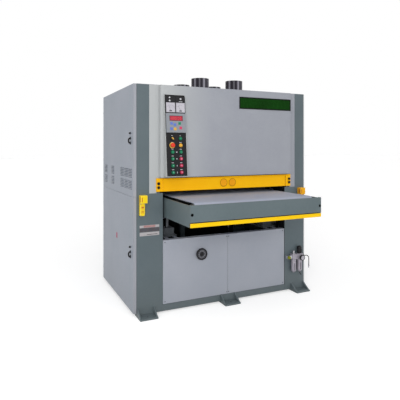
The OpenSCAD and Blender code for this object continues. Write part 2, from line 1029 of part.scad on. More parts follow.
module hose_fitting() {
  x = hose_x + hose_route[hose_last][0];
  top = hose_z + hose_route[hose_last][1];
  color("#c4c6c8") {
    rod_z(fitting_r, top - fitting_l / 2, top, x, air_y);
    rod_z(fitting_tail_r, top - fitting_l, top, x, air_y);
  }
}

// One head's fixed parts: bearings, portal, beam, tension cylinder and yoke
module pillow_block(x, y) {
  difference() {
    union() {
      block(
        [x - bearing_w / 2, y - bearing_l / 2, rail_top],
        [x + bearing_w / 2, y + bearing_l / 2, rail_top + bearing_foot_h]
      );
      rod_x(drum_shaft_r + bearing_wall, x - bearing_w / 2, x + bearing_w / 2, y, drum_z);
    }
    rod_x(drum_shaft_r + run_clear, x - bearing_w, x + bearing_w, y, drum_z);
  }
}

module head_portal(y) {
  x0 = bearing_x - bearing_rail_w / 2;
  x1 = bearing_x + bearing_rail_w / 2;
  leg_top = head_beam_z - bridge_t;
  for (side = [-1, 1])
    block(
      [x0, y + side * leg_y - leg_w / 2, rail_top],
      [x1, y + side * leg_y + leg_w / 2, leg_top - weld_gap]
    );
  block([x0, y - leg_y - leg_w / 2, leg_top], [x1, y + leg_y + leg_w / 2, head_beam_z - weld_gap]);
  beam_top = head_beam_z + head_beam_h;
  block([-yoke_x - head_beam_end, y - head_beam_w / 2, head_beam_z], [x1, y + head_beam_w / 2, beam_top]);
  rod_z(cylinder_r, beam_top + weld_gap, beam_top + cylinder_h, 0, y);
  rod_z(piston_r, beam_top + cylinder_h + weld_gap, yoke_z - weld_gap, 0, y);
}

module tension_yoke(y) {
  end_x = yoke_x + yoke_t;
  difference() {
    union() {
      block([-end_x, y - yoke_w / 2, yoke_z], [end_x, y + yoke_w / 2, yoke_z + yoke_bar_h]);
      for (x = [-end_x, yoke_x])
        block([x, y - yoke_w / 2, yoke_z], [x + yoke_t, y + yoke_w / 2, tension_z + yoke_top]);
    }
    rod_x(tension_shaft_r + run_clear, -end_x - cut, end_x + cut, y, tension_z);
  }
}

module roller_hanger(y) {
  difference() {
    block(
      [hanger_x - hanger_w, y - hanger_l / 2, hood_z + nip_lift],
      [hanger_x, y + hanger_l / 2, press_z + hanger_top]
    );
    rod_x(press_shaft_r + run_clear, hanger_x - hanger_w - cut, hanger_x + cut, y, press_z);
  }
}

module head_frames() {
  color("#6f7478") {
    for (y = head_ys) {
      for (x = [-bearing_x, bearing_x]) pillow_block(x, y);
      head_portal(y);
      tension_yoke(y);
    }
    both_sides() for (y = press_ys) roller_hanger(y);
  }
}

module drum(y) {
  rod_x(drum_r, -drum_len / 2, drum_len / 2, y, drum_z);
  rod_x(drum_shaft_r, -bearing_x - bearing_w / 2 - shaft_tail, pulley_x + pulley_w, y, drum_z);
  rod_x(drum_pulley_r, pulley_x, pulley_x + pulley_w, y, drum_z);
}
module front_drum() {
  color("#3a3b3d") drum(front_head_y);
}
module rear_drum() {
  color("#3a3b3d") drum(rear_head_y);
}

module tension_roller(y) {
  end_x = yoke_x + yoke_t;
  rod_x(tension_r, -drum_len / 2, drum_len / 2, y, tension_z);
  rod_x(tension_shaft_r, -end_x, end_x, y, tension_z);
}
module front_tension_roller() {
  color("#a5a8ab") tension_roller(front_head_y);
}
module rear_tension_roller() {
  color("#a5a8ab") tension_roller(rear_head_y);
}

module abrasive_belts() {
  half = abrasive_w / 2;
  color("#8a4b34") for (y = head_ys)
    belt_loop([y, drum_z], drum_r, [y, tension_z], tension_r, abrasive_t, -half, half);
}

module press_roller(y) {
  rod_x(press_r, -press_len / 2, press_len / 2, y, press_z);
  rod_x(press_shaft_r, -hanger_x, hanger_x, y, press_z);
}
module infeed_roller() {
  color("#a5a8ab") press_roller(press_ys[0]);
}
module outfeed_roller() {
  color("#a5a8ab") press_roller(press_ys[1]);
}

module main_motors() {
  x0 = motor_x - motor_len;
  foot_x0 = motor_x - motor_len / 2 - motor_foot_l / 2;
  color("#5d666b") for (y = motor_ys) difference() {
    union() {
      rod_x(motor_r, x0 + motor_cap_t, motor_x, y, motor_z);
      rod_x(motor_r * motor_cap_share, x0, x0 + motor_cap_t + cut, y, motor_z);
      block(
        [foot_x0, y - motor_foot_w / 2, motor_floor],
        [foot_x0 + motor_foot_l, y + motor_foot_w / 2, motor_z]
      );
    }
    rod_x(motor_shaft_r + run_clear, motor_x - motor_bore_l - cut, motor_x + cut, y, motor_z);
  }
}

module motor_pulley(y) {
  rod_x(motor_shaft_r, motor_x - motor_bore_l, pulley_x + pulley_w, y, motor_z);
  rod_x(motor_pulley_r, pulley_x, pulley_x + pulley_w, y, motor_z);
}
module front_motor_pulley() {
  color("#7b7f83") motor_pulley(motor_ys[0]);
}
module rear_motor_pulley() {
  color("#7b7f83") motor_pulley(motor_ys[1]);
}

module drive_belts() {
  color("#1f1f20") for (i = [0, 1])
    belt_loop(
      [motor_ys[i], motor_z], motor_pulley_r, [head_ys[i], drum_z], drum_pulley_r,
      drive_belt_t, pulley_x, pulley_x + pulley_w
    );
}

module each_jack() {
  for (x = [-jack_x, jack_x], y = [-jack_y, jack_y]) translate([x, y, 0]) children();
}

module lift_jacks() {
  color("#3a3d40") each_jack() difference() {
    union() {
      block(
        [-jack_pad_w / 2, -jack_pad_w / 2, base_top],
        [jack_pad_w / 2, jack_pad_w / 2, base_top + jack_pad_t]
      );
      block([-jack_w / 2, -jack_w / 2, base_top], [jack_w / 2, jack_w / 2, base_top + jack_h]);
    }
    rod_z(screw_r + run_clear, base_top - cut, base_top + jack_h + cut, 0, 0);
  }
}

module lift_screws() {
  color("#b7babd") each_jack() rod_z(screw_r, base_top - screw_tail, table_bottom, 0, 0);
}

// Bearing block of a feed roller on the inner face of the right side plate
module roller_block(y) {
  difference() {
    block(
      [side_x - block_w, y - block_h / 2, roller_z - block_h / 2],
      [side_x - weld_gap, y + block_h / 2, roller_z + block_h / 2]
    );
    rod_x(roller_shaft_r + run_clear, side_x - block_w - cut, side_x + cut, y, roller_z);
  }
}

guide_y = table_front_y + guide_back;
guide_x = guide_share * table_w / 2;
kick_pin_z = kick_z + kick_h / 2;

// Side plates, bed, cross tubes, lift tubes, kick-bar guide and roller bearings
module table_frame() {
  side_y = table_front_y + front_return + weld_gap;
  tube_x = side_x - weld_gap;
  bed_low = bed_top - bed_t;
  run = rear_roller_y - front_roller_y;
  color("#646c70") {
    difference() {
      both_sides() block([side_x, side_y, table_bottom], [table_w / 2, table_rear_y, side_top]);
      rod_x(roller_shaft_r + shaft_hole_clear, side_x - cut, table_w / 2 + cut, rear_roller_y, roller_z);
    }
    both_sides() for (y = [front_roller_y, rear_roller_y]) roller_block(y);
    block(
      [-bed_w / 2, front_roller_y + roller_r + bed_gap, bed_low],
      [bed_w / 2, rear_roller_y - roller_r - bed_gap, bed_top]
    );
    for (i = [1:cross_tubes]) {
      y = front_roller_y + run * i / (cross_tubes + 1);
      block(
        [-tube_x, y - cross_tube_w / 2, bed_low - weld_gap - cross_tube_h],
        [tube_x, y + cross_tube_w / 2, bed_low - weld_gap]
      );
    }
    both_ends() block(
      [-tube_x, jack_y - lift_tube_w / 2, table_bottom],
      [tube_x, jack_y + lift_tube_w / 2, table_bottom + lift_tube_h]
    );
    difference() {
      block([-tube_x, guide_y, kick_z], [tube_x, guide_y + guide_w, kick_z + guide_h]);
      both_sides()
        rod_y(kick_pin_r + run_clear, guide_y - cut, guide_y + guide_w + cut, guide_x, kick_pin_z);
    }
  }
}

// Front plate with a short return at each end and an access hole to each belt tensioner
module table_front() {
  front_top = belt_top - front_drop;
  low_z = kick_top + kick_gap;
  color("#6a777b") difference() {
    union() {
      block([-table_w / 2, table_front_y, low_z], [table_w / 2, table_front_y + front_t, front_top]);
      both_sides() block(
        [side_x, table_front_y, low_z],
        [table_w / 2, table_front_y + front_return, front_top]
      );
    }
    both_sides() rod_y(
      access_r, table_front_y - cut, table_front_y + front_return + cut,
      side_x - access_inset, belt_top - access_drop
    );
  }
}

module kick_bar() {
  color("#f2c41d") {
    block([-table_w / 2, table_front_y, kick_z], [table_w / 2, table_front_y + kick_t, kick_top]);
    both_sides()
      rod_y(kick_pin_r, table_front_y + kick_t / 2, guide_y + guide_w + kick_pin_past, guide_x, kick_pin_z);
  }
}

module feed_belt() {
  half = belt_w / 2;
  inner_r = roller_r + belt_seat;
  outer_r = inner_r + belt_t;
  color("#9598a6") difference() {
    union() {
      for (y = [front_roller_y, rear_roller_y]) rod_x(outer_r, -half, half, y, roller_z);
      block([-half, front_roller_y, roller_z - outer_r], [half, rear_roller_y, roller_z + outer_r]);
    }
    for (y = [front_roller_y, rear_roller_y]) rod_x(inner_r, -half - cut, half + cut, y, roller_z);
    block(
      [-half - cut, front_roller_y, roller_z - inner_r],
      [half + cut, rear_roller_y, roller_z + inner_r]
    );
  }
}

module front_roller() {
  color("#55585c") {
    rod_x(roller_r, -roller_len / 2, roller_len / 2, front_roller_y, roller_z);
    rod_x(roller_shaft_r, weld_gap - side_x, side_x - weld_gap, front_roller_y, roller_z);
  }
}

module rear_roller() {
  color("#55585c") {
    rod_x(roller_r, -roller_len / 2, roller_len / 2, rear_roller_y, roller_z);
    rod_x(roller_shaft_r, weld_gap - side_x, table_w / 2 + gear_shaft_l, rear_roller_y, roller_z);
  }
}

// Worm gearbox on the right side plate with its motor hanging below
module feed_gearmotor() {
  x0 = table_w / 2;
  color("#5d666b") {
    difference() {
      block(
        [x0, rear_roller_y - gear_l / 2, roller_z - gear_l / 2],
        [x0 + gear_w, rear_roller_y + gear_l / 2, roller_z + gear_l / 2]
      );
      rod_x(roller_shaft_r + run_clear, x0 - cut, x0 + gear_shaft_l + cut, rear_roller_y, roller_z);
    }
    rod_z(can_r, roller_z - gear_l / 2 - can_h, roller_z - gear_l / 2, x0 + gear_w / 2, rear_roller_y);
  }
}

// Handwheel: dished wheel, hub and the shaft into the base
module speed_handwheel() {
  face_y = front_y + panel_recess - wheel_gap;
  color("#232426") {
    difference() {
      rod_y(wheel_r, face_y - wheel_t, face_y, wheel_x, wheel_z);
      rod_y(wheel_r - wheel_rim_w, face_y - wheel_t - cut, face_y - wheel_t + wheel_dish, wheel_x, wheel_z);
    }
    rod_y(wheel_hub_r, face_y - wheel_t - wheel_hub_h + wheel_dish, face_y, wheel_x, wheel_z);
    rod_y(wheel_shaft_r, face_y - cut, face_y + wheel_shaft_l, wheel_x, wheel_z);
  }
}

base_frame();
left_side_frame();
right_side_frame();
top_cover();
dust_ports();
hood_front();
hood_cover();
hood_rear();
lower_panels();
right_covers();
console_box();
console_plate();
panel_meters();
thickness_controller();
pilot_lamps();
guard_tabs();
guard_switches();
air_unit();
air_gauge();
air_hose();
hose_fitting();
head_frames();
abrasive_belts();
main_motors();
drive_belts();
lift_jacks();
safety_flap();
table_frame();
table_front();
feed_belt();
feed_gearmotor();
lift_screws();
front_roller();
rear_roller();
kick_bar();
upper_door();
lower_door();
upper_latch();
lower_latch();
speed_handwheel();
mode_selector();
emergency_stop();
table_up_button();
table_down_button();
front_head_start();
front_head_stop();
rear_head_start();
rear_head_stop();
feed_start();
feed_stop();
regulator_knob();
shutoff_knob();
front_drum();
rear_drum();
front_tension_roller();
rear_tension_roller();
front_motor_pulley();
rear_motor_pulley();
infeed_roller();
outfeed_roller();
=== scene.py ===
import json
import math

import bmesh
import bpy
from mathutils import Matrix, Vector

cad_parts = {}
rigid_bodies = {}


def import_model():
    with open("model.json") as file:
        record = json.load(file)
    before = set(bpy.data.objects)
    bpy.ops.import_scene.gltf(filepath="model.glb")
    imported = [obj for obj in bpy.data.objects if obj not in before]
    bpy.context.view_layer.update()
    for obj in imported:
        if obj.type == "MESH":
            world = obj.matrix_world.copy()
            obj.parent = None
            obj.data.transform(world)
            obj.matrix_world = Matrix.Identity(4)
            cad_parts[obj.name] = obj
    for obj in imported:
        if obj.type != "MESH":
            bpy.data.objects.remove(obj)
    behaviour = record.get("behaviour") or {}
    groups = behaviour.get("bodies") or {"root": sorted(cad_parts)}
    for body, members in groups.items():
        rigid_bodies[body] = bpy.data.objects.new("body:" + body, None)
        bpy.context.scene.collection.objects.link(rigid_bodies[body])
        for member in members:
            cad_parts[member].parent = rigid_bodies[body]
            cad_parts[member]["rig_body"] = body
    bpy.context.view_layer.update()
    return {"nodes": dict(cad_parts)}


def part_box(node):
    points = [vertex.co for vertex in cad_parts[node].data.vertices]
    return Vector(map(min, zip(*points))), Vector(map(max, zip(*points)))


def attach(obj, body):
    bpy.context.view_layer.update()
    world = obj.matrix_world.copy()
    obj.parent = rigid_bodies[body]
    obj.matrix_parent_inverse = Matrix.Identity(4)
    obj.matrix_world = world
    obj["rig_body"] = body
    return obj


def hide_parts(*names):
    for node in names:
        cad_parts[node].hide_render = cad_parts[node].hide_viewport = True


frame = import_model()
scene = bpy.context.scene
mm = 0.001
print("frame loaded:", len(frame["nodes"]), "nodes")

cameraLook = {
    "place": (-2.0186, -4.3193, 1.5116), "pitch": 90.04, "yaw": -25.635, "lens": 38.711, "sensor": 36,
    "shiftX": -0.01492, "shiftY": -0.13261,
}


def addCamera(look):
    data = bpy.data.cameras.new("photoCamera")
    data.lens = look["lens"]
    data.sensor_width = look["sensor"]
    data.shift_x = look["shiftX"]
    data.shift_y = look["shiftY"]
    camera = bpy.data.objects.new("photoCamera", data)
    camera.location = look["place"]
    camera.rotation_euler = (math.radians(look["pitch"]), 0, math.radians(look["yaw"]))
    scene.collection.objects.link(camera)
    scene.camera = camera


addCamera(cameraLook)
scene.view_settings.view_transform = "Standard"


def span(node):  # a node's box in millimetres
    low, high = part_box(node)
    return Vector(low) / mm, Vector(high) / mm


def middleOf(node):
    low, high = span(node)
    return (low + high) / 2


topLow, topHigh = span("top_cover")
tabLow, tabHigh = span("guard_tabs")
panelLow, panelHigh = span("lower_panels")
tableLow, tableHigh = span("table_front")
coverLow = span("hood_cover")[0]
beltHigh = span("feed_belt")[1]
frontY = topLow.y
rearY = topHigh.y
columnX = topHigh.x


def linearColor(hexText):
    parts = [int(hexText[i:i + 2], 16) / 255 for i in (1, 3, 5)]
    return [p / 12.92 if p <= 0.04045 else ((p + 0.055) / 1.055) ** 2.4 for p in parts] + [1.0]


def addNode(tree, kind, settings=None, output=0):  # a setting that is a socket becomes a link
    node = tree.nodes.new(kind)
    for key, value in (settings or {}).items():
        if isinstance(value, bpy.types.NodeSocket):
            tree.links.new(value, node.inputs[key])
        elif isinstance(key, int) or key in node.inputs:
            node.inputs[key].default_value = value
        else:
            setattr(node, key, value)
    return node.outputs if output is None else node.outputs[output]


# what every finish starts from; lengths in millimetres of real surface
plainLook = {
    "patch": 320, "speck": 18, "contrast": (0.36, 0.64), "fineShare": 0.35, "stretch": (1, 1, 1),
    "rough": (0.36, 0.5), "shine": 0.4, "metal": 0.0, "glow": 0.0,
    "pattern": "noise", "axis": "X", "grain": 2.4, "depth": 0.02,
    "fade": None, "streak": None, "dust": 0.0, "dustColor": "#8b8a84", "dustHeight": 450,
    "wear": None, "wearPatch": 9, "wearShare": (0.15, 0.7),
}
waveLength = 314.16  # of a wave texture at scale 1


def surface(name, base, tone, **changes):
    look = {**plainLook, **changes}
    material = bpy.data.materials.new(name)
    material.use_nodes = True
    tree = material.node_tree
    tree.nodes.clear()
    coords = addNode(tree, "ShaderNodeTexCoord", output="Object")
    spot = addNode(tree, "ShaderNodeMapping", {"Vector": coords, "Scale": look["stretch"]})
    settings = {"Vector": spot, "Scale": 1000 / look["patch"], "Detail": 3, "Roughness": 0.55}
    broad = addNode(tree, "ShaderNodeTexNoise", settings)
    settings = {"Vector": spot, "Scale": 1000 / look["speck"], "Detail": 5, "Roughness": 0.62}
    fine = addNode(tree, "ShaderNodeTexNoise", settings)
    share = look["fineShare"]
    rest = addNode(tree, "ShaderNodeMath", {"operation": "MULTIPLY", 0: broad, 1: 1 - share})
    both = addNode(tree, "ShaderNodeMath", {"operation": "MULTIPLY_ADD", 0: fine, 1: share, 2: rest})
    low, high = look["contrast"]
    mottle = addNode(tree, "ShaderNodeMapRange", {"Value": both, "From Min": low, "From Max": high})
    layers = [(mottle, tone)]
    if look["fade"]:  # painted highlight: the colour pales towards the lit end of the sheet
        pale, start, end = look["fade"]
        along = addNode(tree, "ShaderNodeSeparateXYZ", {0: coords}, "X")
        settings = {"Value": along, "From Min": start * mm, "From Max": end * mm, "To Min": 1, "To Max": 0}
        layers.append((addNode(tree, "ShaderNodeMapRange", settings), pale))
    if look["streak"]:  # painted reflection: bright streaks of the studio lamps, from the mesh's own attribute
        reflection = addNode(tree, "ShaderNodeAttribute", {"attribute_name": "streak"}, "Fac")
        layers.append((reflection, look["streak"]))
    if look["dust"]:  # floor dirt that fades out upwards
        height = addNode(tree, "ShaderNodeSeparateXYZ", {0: coords}, "Z")
        settings = {"Value": height, "From Max": look["dustHeight"] * mm}
        settings.update({"To Min": look["dust"], "To Max": 0})
        nearFloor = addNode(tree, "ShaderNodeMapRange", settings)
        dirt = addNode(tree, "ShaderNodeMath", {"operation": "MULTIPLY", 0: nearFloor, 1: fine})
        layers.append((dirt, look["dustColor"]))
    if look["wear"]:  # rubbed edges, from the mesh's own attribute
        edge = addNode(tree, "ShaderNodeAttribute", {"attribute_name": "wear"}, "Fac")
        settings = {"Vector": coords, "Scale": 1000 / look["wearPatch"], "Detail": 4, "Roughness": 0.7}
        patches = addNode(tree, "ShaderNodeTexNoise", settings)
        least, most = look["wearShare"]
        settings = {"Value": patches, "From Min": 0.42, "From Max": 0.62, "To Min": least, "To Max": most}
        rubbed = addNode(tree, "ShaderNodeMapRange", settings)
        bare = addNode(tree, "ShaderNodeMath", {"operation": "MULTIPLY", 0: edge, 1: rubbed})
        layers.append((bare, look["wear"]))
    color = linearColor(base)
    for factor, over in layers:  # each layer lies over the ones before it
        settings = {"data_type": "RGBA", 0: factor, 6: color, 7: linearColor(over)}
        color = addNode(tree, "ShaderNodeMix", settings, 2)
    low, high = look["rough"]
    settings = {"Value": fine, "From Min": 0.3, "From Max": 0.7, "To Min": low, "To Max": high}
    roughness = addNode(tree, "ShaderNodeMapRange", settings)
    if look["pattern"] == "cells":
        relief = addNode(tree, "ShaderNodeTexVoronoi", {"Vector": spot, "Scale": 1000 / look["grain"]})
    elif look["pattern"] == "bands":
        settings = {"bands_direction": look["axis"], "Vector": coords, "Scale": waveLength / look["grain"]}
        relief = addNode(tree, "ShaderNodeTexWave", settings, 1)
    else:
        settings = {"Vector": spot, "Scale": 1000 / look["grain"], "Detail": 2, "Roughness": 0.55}
        relief = addNode(tree, "ShaderNodeTexNoise", settings)
    settings = {"Height": relief, "Distance": look["depth"] * mm, "Strength": 1.0}
    bump = addNode(tree, "ShaderNodeBump", settings)
    settings = {
        "Base Color": color, "Roughness": roughness, "Normal": bump, "Metallic": look["metal"],
        "Specular IOR Level": look["shine"],
    }
    if look["glow"]:
        settings.update({"Emission Color": color, "Emission Strength": look["glow"]})
    shader = addNode(tree, "ShaderNodeBsdfPrincipled", settings)
    addNode(tree, "ShaderNodeOutputMaterial", {"Surface": shader}, None)
    return material


# powder coat: a faint orange peel that softens highlights, dusty near the floor
powderCoat = {"depth": 0.03}
framePaint = surface("powderCoatDarkGrey", "#58656a", "#5e6a6f", wear="#8b9496", dust=0.4,
                     dustColor="#6f706c", **powderCoat)
sheetCoatAndHighlight = surface("powderCoatLightGrey", "#999ca4", "#a0a3aa", wear="#c0c3c7", dust=0.2, **powderCoat)
panelCoatAndHighlight = surface("powderCoatPanelGrey", "#a0a5b0", "#a7abb5", wear="#c6c9ce", dust=0.15, **powderCoat)
doorPaint = surface("powderCoatBlueGrey", "#8e96a2", "#969ca8", wear="#bcc0c6", dust=0.25, **powderCoat)
paleCoatAndHighlight = surface("powderCoatPaleGrey", "#b4b7b8", "#babcbc", wear="#cccecf", **powderCoat)
# painted highlight: the hood cover and hood front grow paler towards their left, lit end
coverCoatAndHighlight = surface("powderCoatPaintedLitEnd", "#979aa3", "#9ea1a9", wear="#c0c3c7",
                     fade=("#b6b9ba", coverLow.x + 20, coverLow.x + 520), **powderCoat)
# painted light: the frame coat drawn lighter for the feet's upward faces, with floor dust as well
feetTopsPaintedLight = surface("powderCoatFeetLitTops", "#606c71", "#667277", wear="#8a9396", dust=0.3,
                    dustColor="#6f706c", **powderCoat)
tablePaint = surface("hammeredTablePaint", "#59676b", "#616e72", wear="#929999", grain=3.2, depth=0.05)
# glossy safety enamel, chipped to primer at its edges
enamel = {"rough": (0.3, 0.42), "shine": 0.12}
yellowPaint = surface("yellowEnamel", "#ffc10a", "#fdb906", wear="#fcd470", **enamel)
kickPaint = surface("kickBarEnamel", "#ffd012", "#fbc80c", wear="#e2d7b4", **enamel)
# moulded plastics, half matt from a spark-eroded texture that is drawn coarser than life to show
moulded = {"grain": 0.9, "depth": 0.03, "shine": 0.15}
switchPlastic = surface("yellowPolycarbonate", "#fbdc26", "#f4d01e", wear="#f9e68c", **moulded)
# an oranger yellow for the right switch, partly its own colour and partly painted shade
rightSwitchOrangeAndShade = surface("orangeYellowPolycarbonateAndShade", "#f7b41c", "#eea814", wear="#f7d17c", **moulded)
blackPlastic = surface("blackAbs", "#151517", "#1f1f22", wear="#454549", grain=0.8, depth=0.03, shine=0.25)
controllerPlastic = surface("greyAbs", "#83888f", "#8d9198", wear="#abafb4", grain=0.8, depth=0.03)
creamPlastic = surface("creamAbs", "#dfb050", "#d3a241", wear="#efd9a2", shine=0.3, speck=5)
limePlastic = surface("limePolyamide", "#787b14", "#8a8d1e", wear="#b9bb62", shine=0.2, speck=5)
bluePlastic = surface("blueKeyRubber", "#5a70bd", "#677ec8", wear="#97a8dc", shine=0.2, rough=(0.4, 0.55),
                      speck=5)
# polished caps and their duller collars
acrylic = {"shine": 0.3, "rough": (0.2, 0.32), "speck": 6}
greenPlastic = surface("greenAcrylic", "#0f7853", "#18865f", wear="#52a988", **acrylic)
redPlastic = surface("redAcrylic", "#c83058", "#d23d62", wear="#e3849b", **acrylic)
amberPlastic = surface("amberAcrylic", "#e8a92f", "#efb846", wear="#f4d48a", **acrylic)
greenRing = surface("greenPolyamide", "#0a5f40", "#0f6c4a", wear="#3d9272", shine=0.2, speck=6)
redRing = surface("redRingPolyamide", "#96203f", "#a3294a", wear="#c56781", shine=0.2, speck=6)
stopPlastic = surface("redPolyamide", "#dc2f1a", "#e24026", wear="#ee846c", shine=0.3, speck=6)
# thin films and screen prints: flat, matt and a little uneven
plateFilm = surface("blackLegendFilm", "#161618", "#1e1e21", wear="#38383c", grain=0.6, shine=0.2)
labelFilm = surface("yellowLabelFilm", "#efca34", "#e6be2a", shine=0.15, patch=40, speck=4)
# orange for the switch marks, and as painted shade on the switch heads' sides
orangeMarksAndShade = surface("orangeMarksAndPaintedShade", "#c8701a", "#b96215", patch=40, speck=4)
discPrint = surface("orangeFilm", "#f4a80c", "#ec9e07", shine=0.2, patch=60, speck=6)
inkPrint = surface("blackInk", "#3a2408", "#4a300c", shine=0.1, patch=30, speck=4)
redFilm = surface("redFilm", "#ae2a58", "#a2224e", shine=0.2, patch=30, speck=4)
whitePrint = surface("whiteScreenPrint", "#cfcfd3", "#c0c0c6", rough=(0.5, 0.65), shine=0.1, patch=60,
                     speck=5)
dialCard = surface("printedDialCard", "#c6c3cb", "#bab7c0", rough=(0.45, 0.6), shine=0.1, patch=60, speck=6)
darkPrint = surface("darkPrint", "#5a5a60", "#4d4d53", rough=(0.45, 0.6), shine=0.2, patch=40, speck=4)
foil = {"rough": (0.5, 0.65), "shine": 0.1, "patch": 40, "speck": 4}
palePrint = surface("paleFoil", "#bcb8ba", "#aeaaac", **foil)
pinkPrint = surface("pinkFoil", "#b88f8e", "#a9807f", **foil)
brownPrint = surface("brownFoil", "#655d60", "#575052", **foil)
# tinted filter and the lit segments behind it
displayGlass = surface("redDisplayFilter", "#8f1530", "#a01c34", rough=(0.1, 0.18), glow=0.3, speck=7)
segmentGlow = surface("litSegments", "#d03434", "#da443e", glow=0.4, speck=4)
# lacquered sign plate, darker at its rim
signGreen = surface("greenSignLacquer", "#083004", "#0c3e08", wear="#2f7a2b", shine=0.06,
                    rough=(0.2, 0.32), patch=180)
signRim = surface("blackSignRim", "#0c130c", "#141b13", wear="#356b33", shine=0.08)
# bare metals: rolled, ground, turned or plated, with streaks that run the way they were worked; the dust
# ports also carry painted lamp reflections
portSteelAndReflection = surface("rolledDuctSteel", "#1d1b22", "#28252e", wear="#7d7b86", streak="#b1afb9", shine=0.12,
                    rough=(0.3, 0.42), stretch=(1, 1, 0.03), patch=90, speck=8)
machinedSteel = surface("groundSteel", "#b4b7ba", "#9fa3a7", wear="#d5d8da", metal=1.0, rough=(0.24, 0.42),
                        stretch=(0.04, 1, 1), speck=5)
threadSteel = surface("rolledThreadSteel", "#a6a9ac", "#83878b", metal=1.0, rough=(0.28, 0.44),
                      pattern="bands", axis="Z", grain=6, depth=1.2)
screwBlack = surface("blackenedSteel", "#141517", "#1e2023", wear="#4c4e52", metal=0.3, shine=0.25, speck=3)
screwZinc = surface("zincPlate", "#8f949a", "#7d828a", wear="#c9ccd0", metal=0.9, rough=(0.28, 0.42),
                    speck=3)
nickel = surface("nickelPlate", "#c9c8cc", "#b5b4ba", wear="#e4e4e6", metal=0.95, rough=(0.16, 0.3), speck=4)
airAlloy = surface("castAluminium", "#aca7b0", "#9b96a1", wear="#d2cfd5", metal=0.3, rough=(0.34, 0.5),
                   speck=5, grain=1.2, depth=0.06)
rollerShell = surface("turnedAluminium", "#b1b4b6", "#9a9da0", wear="#d3d5d6", metal=0.95,
                      rough=(0.26, 0.4), stretch=(1, 0.02, 0.02), speck=4)
# castings and motor shells: sand-cast grain under paint
casting = surface("paintedIron", "#474c50", "#3c4145", wear="#73797c", rough=(0.5, 0.66), grain=3.5,
                  depth=0.25)
motorShell = surface("motorPaint", "#59646a", "#4d575d", wear="#8a9396", rough=(0.4, 0.55), grain=2.5,
                     depth=0.1)
# rubbers, from ground drum cover to rough-top conveyor; the cloth's grit is drawn coarser than life
drumRubber = surface("groundRubber", "#37383a", "#414244", rough=(0.6, 0.75), pattern="bands", grain=9,
                     depth=0.5)
beltRubber = surface("roughTopBelt", "#a1a6b6", "#abb0bf", wear="#757885", rough=(0.6, 0.78), shine=0.15,
                     pattern="cells", grain=5, depth=0.35, patch=420)
blackRubber = surface("blackRubber", "#1a1a1b", "#232324", wear="#3b3b3d", rough=(0.5, 0.7), shine=0.25,
                      grain=1.5, depth=0.05)
abrasive = surface("abrasiveCloth", "#8a4b34", "#7a3d29", rough=(0.75, 0.9), pattern="cells", grain=1.4,
                   depth=0.5, patch=160)
# painted shade: near black on the faces that are out of the light, standing for the shadow inside the
# machine
paintedShade = surface("paintedShade", "#0d0e0f", "#151718", rough=(0.7, 0.85), shine=0.1)
print("finishes made:", len(bpy.data.materials))


def newMesh():
    mesh = bmesh.new()
    mesh.verts.layers.float.new("wear")
    return mesh


def at(x, y, z):
    return Vector((x, y, z)) * mm


axisTurns = {
    "z": (0, "X"), "-z": (180, "X"), "-y": (90, "X"), "y": (-90, "X"), "x": (90, "Y"), "-x": (-90, "Y"),
}


def aim(x, y, z, axis="z", base=Matrix()):
    angle, about = axisTurns[axis]
    return base @ Matrix.Translation(at(x, y, z)) @ Matrix.Rotation(math.radians(angle), 4, about)


def ringSpots(place, angles, offset):  # turned about the place's own Z, then moved out
    turns = [Matrix.Rotation(math.radians(angle), 4, "Z") for angle in angles]
    return [place @ turn @ Matrix.Translation(at(*offset)) for turn in turns]


def addBox(mesh, low, high, base=Matrix(), finish=0):
    made = bmesh.ops.create_cube(mesh, size=1.0)["verts"]
    middle = (at(*low) + at(*high)) / 2
    size = at(*high) - at(*low)
    for vert in made:
        vert.co = base @ (middle + vert.co * size)
    for face in {face for vert in made for face in vert.link_faces}:
        face.material_index = finish


def addLathe(mesh, profile, place, segments=48, finish=0):
    rings = []
    for radius, height in profile:
        turns = [math.tau * i / segments for i in range(segments)] if radius else [0]
        ring = [at(radius * math.cos(t), radius * math.sin(t), height) for t in turns]
        rings.append([mesh.verts.new(place @ spot) for spot in ring])
    for lower, upper in zip(rings, rings[1:]):
        for i in range(segments):
            j = (i + 1) % segments
            corners = [lower[i % len(lower)], lower[j % len(lower)]]
            corners += [upper[j % len(upper)], upper[i % len(upper)]]
            corners = list(dict.fromkeys(corners))
            if len(corners) > 2:
                mesh.faces.new(corners).material_index = finish
    return [vert for ring in rings for vert in ring]


def addTube(mesh, points, radius, sides=16, finish=0):
    points = [at(*point) for point in points]
    turns = [math.tau * k / sides for k in range(sides)]
    side = None
    rings = []
    for i, point in enumerate(points):
        ahead = (points[min(i + 1, len(points) - 1)] - points[max(i - 1, 0)]).normalized()
        side = ahead.orthogonal() if side is None else side - ahead * side.dot(ahead)
        side.normalize()
        across = ahead.cross(side)
        spots = [point + (side * math.cos(t) + across * math.sin(t)) * radius * mm for t in turns]
        rings.append([mesh.verts.new(spot) for spot in spots])
    for lower, upper in zip(rings, rings[1:]):
        for k in range(sides):
            n = (k + 1) % sides
            mesh.faces.new([lower[k], lower[n], upper[n], upper[k]]).material_index = finish
    mesh.faces.new(rings[0][::-1]).material_index = finish
    mesh.faces.new(rings[-1]).material_index = finish


def weld(mesh, distance=0.002):
    bmesh.ops.remove_doubles(mesh, verts=mesh.verts[:], dist=distance * mm)


def roundEdges(mesh, width, segments=2, angle=28):
    layer = mesh.verts.layers.float["wear"]
    limit = math.radians(angle)
    sharp = [e for e in mesh.edges if len(e.link_faces) == 2 and e.calc_face_angle(0) > limit]
    if sharp and width:
        made = bmesh.ops.bevel(mesh, geom=sharp, offset=width * mm, offset_type="OFFSET", profile=0.5,
                               segments=segments, affect="EDGES", clamp_overlap=True, material=-1)
        strip = set(made["faces"])
        for vert in mesh.verts:  # the middle row of each rounding takes the wear
            vert[layer] = float(bool(vert.link_faces) and all(face in strip for face in vert.link_faces))


